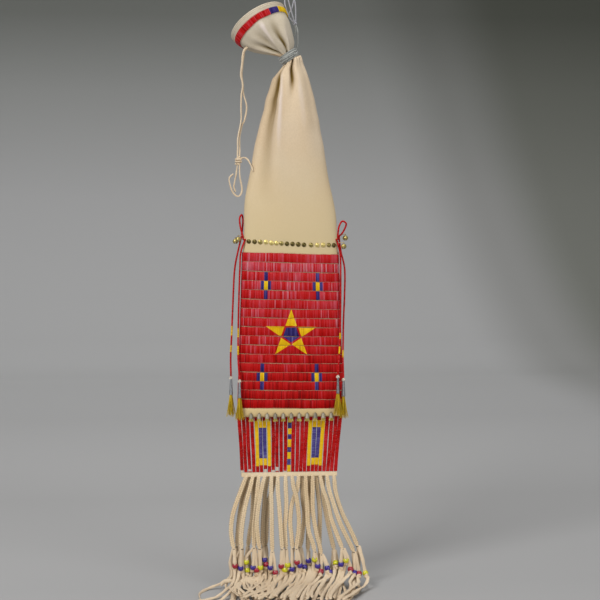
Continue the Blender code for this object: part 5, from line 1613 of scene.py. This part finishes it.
# Beads, from left to right: (place across, height over the floor, colour, braid it hangs from,
# where its thong runs on below it), in mm.
# Braids are counted through the front ones and then the back ones.
BEADS = (
    (
        -91.6, 38, "red", 0,
        ((-92, -2, 25.2), (-90, -20, 14.5), (-89, -54, 6.1), (-78, -95, 3.1), (-74, -130, 2.1))
    ),
    (
        -82.2, 33, "blue", 1,
        ((-82, -6, 22.6), (-79, -21, 14.5), (-76, -55, 6.1), (-64, -97, 3.1), (-55, -120, 2.3))
    ),
    (
        -72.9, 42, "yellow", 15,
        ((-74, 2, 30.4), (-83, -11, 18.9), (-96, -29, 10.1), (-101, -67, 4.7), (-91, -105, 2.5))
    ),
    (
        -71.5, 29, "yellow", 14,
        ((-72, -9, 21.3), (-74, -22, 14.5), (-71, -55, 6.1), (-65, -91, 3.4), (-64, -125, 2.2))
    ),
    (
        -62.4, 35, "blue", 2,
        ((-64, -6, 23.9), (-69, -17, 16.7), (-79, -28, 11.2), (-92, -45, 7.3), (-103, -83, 3.8))
    ),
    (
        -56.7, 30, "red", 2,
        ((-57, -11, 20.6), (-64, -18, 16.7), (-74, -19, 15.6), (-87, -27, 11.2), (-96, -62, 5))
    ),
    (
        -50.2, 34, "yellow", 3,
        ((-49, -8, 23.9), (-48, -19, 16.7), (-56, -39, 8.4), (-69, -70, 4.7), (-83, -105, 2.5))
    ),
    (
        -43.6, 45, "blue", 16,
        ((-45, 1, 31.7), (-52, -10, 21.3), (-63, -27, 12.3), (-67, -64, 5), (-60, -113, 2.4))
    ),
    (
        -40.8, 37, "red", 17,
        ((-41, -3, 28.4), (-44, -9, 22.6), (-56, -19, 16.7), (-71, -23, 13.9), (-91, -36, 8.4))
    ),
    (
        -34.4, 34, "blue", 4,
        ((-34, -9, 23.9), (-35, -20, 16.7), (-43, -45, 7.9), (-58, -76, 4.4), (-77, -106, 2.5))
    ),
    (
        -26.1, 26, "red", 4,
        ((-27, -16, 18.9), (-30, -32, 11.2), (-41, -62, 5.6), (-62, -91, 3.4), (-84, -117, 2.3))
    ),
    (
        -16.5, 36, "red", 5,
        ((-16, -7, 26.5), (-20, -17, 18.9), (-28, -35, 10.1), (-34, -73, 4.7), (-31, -116, 2.4))
    ),
    (
        -10.6, 30, "yellow", 5,
        (
            (-12, -13, 21.9), (-22, -24, 15.6), (-36, -32, 11.2), (-55, -30, 11.2), (-79, -23, 13.4),
            (-107, -20, 13.9), (-115, -29, 9)
        )
    ),
    (
        -5.9, 37, "yellow", 6,
        ((-6, -8, 26.5), (-9, -20, 17.8), (-18, -47, 7.9), (-32, -89, 3.8), (-43, -127, 2.2))
    ),
    (
        1.2, 30, "blue", 8,
        ((0, -14, 21.9), (-5, -28, 14.5), (-20, -60, 6.1), (-43, -93, 3.4), (-70, -113, 2.4))
    ),
    (
        9.3, 41, "red", 7,
        ((9, -4, 31.1), (6, -14, 22.6), (-5, -34, 11.2), (-23, -68, 5), (-46, -103, 2.8), (-61, -131, 2.1))
    ),
    (
        14.2, 36, "blue", 7,
        ((15, -10, 26.5), (12, -22, 17.8), (0, -44, 8.4), (-16, -85, 4.1), (-25, -128, 2.2))
    ),
    (14.4, 30, "red", 18, ((14, -15, 22.6), (10, -29, 14.5), (2, -62, 6.1), (-13, -106, 2.8))),
    (
        22.1, 32, "blue", 18,
        ((21, -12, 25.2), (18, -25, 16.7), (4, -53, 7.3), (-14, -101, 3.1), (-23, -135, 2.1))
    ),
    (
        28.7, 43, "blue", 19,
        ((31, -1, 35.6), (29, -11, 26.5), (21, -30, 14.5), (7, -62, 6.1), (-11, -118, 2.4))
    ),
    (38.3, 46, "yellow", 9, ((38, -1, 35.6), (32, -12, 26.5), (27, -30, 14.5), (14, -72, 5), (0, -125, 2.3))),
    (
        43.2, 35, "blue", 9,
        ((41, -12, 27.1), (33, -22, 18.9), (19, -54, 7.3), (-1, -113, 2.5), (-10, -147, 1.9))
    ),
    (48.6, 26, "red", 10, ((46, -20, 20.6), (37, -34, 13.4), (23, -64, 6.1), (10, -113, 2.5), (5, -143, 2))),
    (58.9, 31, "blue", 10, ((58, -18, 22.6), (52, -33, 14.5), (40, -65, 6.1), (25, -121, 2.4))),
    (63.4, 24, "blue", 10, ((61, -23, 19.4), (48, -32, 14.5), (38, -43, 9), (28, -78, 4.7), (23, -127, 2.3))),
    (73.4, 37, "yellow", 21, ((72, -12, 29.1), (67, -27, 17.8), (51, -66, 6.1), (38, -122, 2.4))),
    (81.4, 37, "blue", 11, ((81, -14, 27.8), (73, -34, 14.5), (58, -75, 5), (46, -129, 2.3))),
    (89.6, 44, "yellow", 11, ((88, -9, 33), (82, -24, 20), (70, -59, 7.3), (59, -118, 2.5))),
    (
        97.0, 29, "red", 11,
        ((94, -22, 22.6), (82, -35, 14.5), (70, -59, 7.3), (55, -107, 3.1), (51, -135, 2.2))
    ),
    (
        103.6, 22, "blue", 12,
        ((99, -27, 18.9), (93, -41, 12.3), (92, -65, 6.7), (82, -94, 4.1), (66, -118, 2.5))
    ),
    (
        111.0, 21, "red", 12,
        ((107, -32, 17.2), (106, -44, 11.2), (92, -74, 5.6), (73, -114, 2.8), (63, -136, 2.2))
    ),
    (
        121.7, 21, "yellow", 13,
        ((123, -33, 17.2), (117, -47, 10.1), (101, -79, 5), (84, -115, 2.8), (70, -143, 2.1))
    ),
)


def fringe_band():
    """The uncut edge of the fringe's hide, folded over the foot of the slats."""
    bm = blank()
    for y, tone in ((-2.0, 0.16), (2.0, 0.24)):
        line = np.array(
            [(x, y * MM, (BAND_TOP + BAND_FOOT) / 2) for x in np.linspace(-80.0 * MM, 75.8 * MM, 80)]
        )
        wave = 6.6 * MM + 0.5 * MM * np.sin(np.arange(80) * 1.37)
        roll(bm, line, wave, 1.5 * MM, side=(0, 0, 1), sides=10, square=4, tone=tone, cap=0.1)
    piece("fringe_hide_band", bm, [BRAID_HIDE])


def braid(bm, line, tone, phase):
    """Three flat strands plaited along a line."""
    path = through([[c * MM for c in p] for p in line], 1.0 * MM)
    _, across, deep = carried(path, (1, 0, 0))
    run = np.concatenate([[0], np.cumsum(np.linalg.norm(np.diff(path, axis=0), axis=1))])
    near = np.minimum(np.clip((run[-1] - run) / 0.006, 0.25, 1), np.clip(run / 0.010, 0.75, 1))
    for k in range(3):
        turn = 2 * math.pi * (run / 0.0108 + k / 3) + phase
        over = -np.sin(2 * turn)
        strand = (
            path + across * (2.5 * MM * np.sin(turn) * near)[:, None]
            - deep * (1.8 * MM * over * near)[:, None]
        )
        # Painted shade where each strand dives under the others, darkest at the dive
        dive_and_painted_shade = (1 - np.clip(over, 0, 1)) ** 1.5
        roll(
            bm, strand, (3.2 - 0.5 * dive_and_painted_shade) * MM, 2.5 * MM, side=(1, 0, 0), sides=8,
            tone=tone + 0.85 * dive_and_painted_shade * near, square=2.2
        )
    return path[-1]


def tied_end(bm, place):
    """A few turns of dark sinew round a braid's end."""
    turn = np.linspace(0, 2 * math.pi * 2.6, 40)
    line = (
        place
        + np.stack(
            [np.cos(turn) * 2.6 * MM, np.sin(turn) * 2.0 * MM, np.linspace(0.9, -0.9, 40) * MM], axis=1
        )
    )
    roll(bm, line, 0.65 * MM, 0.65 * MM, side=(0, 0, 1), sides=5, tone=0.3)


class Heap:
    """How high the thongs already lie over each spot of the floor."""

    CELL = 1.6 * MM
    HIGHEST = 11 * MM

    def __init__(self):
        self.tops = {}

    def spots(self, point, reach):
        cx, cy = point[0] / self.CELL, point[1] / self.CELL
        span = math.ceil(reach / self.CELL)
        return [
            (round(cx) + i, round(cy) + j) for i in range(-span, span + 1) for j in range(-span, span + 1)
        ]

    def lay(self, path, width, thick):
        """Lifts a path over what lies under it, where it comes near, and adds it to the heap."""
        path = path.copy()
        under = (
            np.array([max(self.tops.get(s, 0.0) for s in self.spots(p, width / 2)) for p in path])
            + thick / 2
        )
        lift = np.clip(np.minimum(under, self.HIGHEST) - (path[:, 2] - FLOOR_Z), 0, None)
        lift[(path[:, 2] - FLOOR_Z) > 1.2 * self.HIGHEST] = 0
        wide = np.array([lift[max(0, i - 4) : i + 5].max() for i in range(len(lift))])
        path[:, 2] += np.convolve(np.pad(wide, 6, mode="edge"), np.ones(13) / 13, mode="valid")
        for p in path:
            if p[2] - FLOOR_Z < self.HIGHEST:
                for spot in self.spots(p, width / 2 * 0.7):
                    self.tops[spot] = max(self.tops.get(spot, 0.0), p[2] - FLOOR_Z + thick / 2)
        return path


def ribbon(bm, path, width, thick, tone, seed):
    """A soft flat thong, a little uneven, turning as it goes."""
    at = np.arange(len(path))
    spin = 0.32 * np.sin(at * 0.11 + seed) * np.linspace(1, 0.5, len(path))
    worn = width * (1 + 0.08 * np.sin(at * 0.7 + seed) + 0.05 * np.sin(at * 1.9 + 2 * seed))
    worn[-3:] *= np.array((0.95, 0.8, 0.5))
    roll(bm, path, worn, thick, side=(1, 0, 0), sides=8, tone=tone, square=3.0, spin=spin)


def beaded_thong(made, shapes, heap, pick, number, end):
    """One thong from a braid's tied end through its bead and knot, and on over the floor."""
    x, height, colour, owner, ground = BEADS[number]
    front = owner < len(FRONT_BRAIDS)
    at = np.array((x * MM, (-14 if front else -8) * MM, FLOOR_Z + height * MM))
    aside = np.clip((at[0] - end[0]) / 0.012, -1, 1)
    start = end + np.array((aside * 1.6 * MM, -0.6 * MM, 1.0 * MM))
    half = (start + at) / 2 + np.array((aside * 0.8 * MM, -0.8 * MM, 0.6 * MM))
    points = [start, half, at] + [np.array((a * MM, b * MM, FLOOR_Z + c * MM)) for a, b, c in ground]
    wide = pick.uniform(5.1, 6.5) * MM
    thick = 1.9 * MM
    path = through(points, 2.0 * MM)
    hung = int(np.argmin(np.linalg.norm(path - at, axis=1)))
    path[hung + 3 :] = heap.lay(path[hung + 3 :], wide, thick)
    widths = np.full(len(path), wide)
    if number == 21:
        widths = wide * np.interp(np.arange(len(path)), [0, hung + 3, hung + 8, len(path)], [1, 1, 2.3, 2.5])
    ribbon(made["thongs"], path, widths, thick, pick.uniform(0.0, 0.10), number)
    way = path[max(hung - 1, 0)] - path[min(hung + 1, len(path) - 1)]
    lay_copy(made[colour], shapes["bead"], facing(path[hung], way), 0.5)
    below = path[min(hung + 3, len(path) - 1)] + np.array((0, -1.4 * MM, -0.8 * MM))
    lay_copy(
        made["thongs"], shapes["knot"], facing(below, (0.3, 1, 0.4), (1, 0, pick.uniform(-0.5, 0.5))),
        pick.uniform(0.0, 0.05)
    )


def fringe():
    """The braids with their tied ends, and the beaded and knotted thongs that lie heaped on the floor."""
    heap = Heap()
    pick = random.Random(31)
    made = {name: blank() for name in ("front", "back", "front_ties", "back_ties", "thongs", *BEAD_FINISHES)}
    ends = []
    for index, line in enumerate(FRONT_BRAIDS + BACK_BRAIDS):
        side, shade = ("front", (0.0, 0.08)) if index < len(FRONT_BRAIDS) else ("back", (0.0, 0.10))
        ends.append(braid(made[side], line, pick.uniform(*shade), 1.3 * index))
        tied_end(made[side + "_ties"], ends[-1])
    # spare thongs without a bead lie underneath
    for index, end in enumerate(ends):
        front = index < len(FRONT_BRAIDS)
        for spare in range(2 if front else 3):
            lean = pick.uniform(-0.040, -0.014) if end[0] > -0.03 else pick.uniform(-0.020, 0.016)
            x = end[0] + pick.uniform(-0.005, 0.005)
            y = end[1] + (0.001 if front else -0.006 * spare)
            reach = pick.uniform(0.105, 0.136) if front or spare else -0.045
            bow = pick.uniform(-0.010, 0.010)
            points = [
                end + np.array((pick.uniform(-2, 2) * MM, 0.8 * MM, 0.5 * MM)),
                (x, y - 0.002, FLOOR_Z + 0.030), (x + lean * 0.15, y - reach * 0.12, FLOOR_Z + 0.011)
            ]
            points += [
                (x + lean * 0.4 + bow, y - reach * 0.45, FLOOR_Z + 0.0035),
                (x + lean * 0.75 + bow, y - reach * 0.8, FLOOR_Z + 0.0012),
                (x + lean, max(-0.142, y - reach), FLOOR_Z + 0.0010)
            ]
            wide = pick.uniform(5.0, 6.2) * MM
            path = heap.lay(through(points, 2.2 * MM), wide, 1.8 * MM)
            ribbon(made["thongs"], path, wide, 1.8 * MM, pick.uniform(0.02, 0.16), index + 0.4 * spare)
    # the long ends on the left
    for index, spots in enumerate((
        (
            (-0.096, -0.012, 0.022), (-0.104, -0.016, 0.012), (-0.107, -0.030, 0.006),
            (-0.101, -0.062, 0.002), (-0.088, -0.094, 0.001)
        ),
        (
            (-0.098, -0.006, 0.020), (-0.112, -0.012, 0.008), (-0.136, -0.022, 0.003),
            (-0.150, -0.050, 0.001), (-0.149, -0.094, 0.001)
        ),
        (
            (-0.094, -0.024, 0.016), (-0.108, -0.062, 0.006), (-0.140, -0.094, 0.002),
            (-0.172, -0.104, 0.001), (-0.186, -0.096, 0.001)
        ),
        (
            (-0.090, -0.030, 0.014), (-0.104, -0.080, 0.004), (-0.150, -0.122, 0.001),
            (-0.205, -0.118, 0.001), (-0.248, -0.094, 0.001)
        ),
    )):
        end = ends[(0, 0, 1, 2)[index]]
        points = (
            [
                end + np.array((-1.5 * MM, -0.5 * MM, 0.5 * MM)),
                ((end[0] + spots[0][0]) / 2 - 0.004, -0.008, FLOOR_Z + 0.042)
            ]
            + [(x, y, FLOOR_Z + z) for x, y, z in spots]
        )
        path = heap.lay(through(points, 2.2 * MM), 4.6 * MM, 1.8 * MM)
        ribbon(made["thongs"], path, 4.6 * MM, 1.8 * MM, 0.03, 50 + index)
    shapes = {
        "bead": spun(
            [
                (3.05 * MM + 1.8 * MM * math.cos(a), 3.6 * MM * math.sin(a))
                for a in np.linspace(-math.pi, math.pi, 13)
            ],
            18
        ),
        "knot": knot_shape(9.4 * MM, 3.8 * MM, 6, 36),
    }
    for number in sorted(
        range(len(BEADS)), key=lambda n: (BEADS[n][3] < len(FRONT_BRAIDS), -BEADS[n][1] if n != 12 else -1)
    ):
        beaded_thong(made, shapes, heap, pick, number, ends[BEADS[number][3]])
    piece(
        "fringe_front_braids", made["front"], [BRAID_HIDE], stands_for=["fringe_front"],
        sharp=70
    )
    piece(
        "fringe_back_braids", made["back"], [BRAID_HIDE], stands_for=["fringe_back"],
        sharp=70
    )
    piece("fringe_front_ties", made["front_ties"], [DARK_SINEW])
    piece("fringe_back_ties", made["back_ties"], [DARK_SINEW])
    piece("fringe_loose_thongs", made["thongs"], [THONG], sharp=60)
    for colour, used in BEAD_FINISHES.items():
        bmesh.ops.recalc_face_normals(made[colour], faces=made[colour].faces)
        piece(f"fringe_{colour}_beads", made[colour], [used])


studio()
hanging_yarn()
drawstring()
pendants()
hide_bag()
rim_edge()
neck_tie()
quill_panel(
    "front_quills", True,
    ["front_quill_panel", "star_points", "star_centre"]
    + [f"cross_{c}_{i}" for c in ("blue", "yellow") for i in range(1, 5)]
)
quill_panel("back_quills", False, ["back_quill_panel"])
brass_spots()
welt()
slats()
small_cones()
bells()
fringe_band()
fringe()
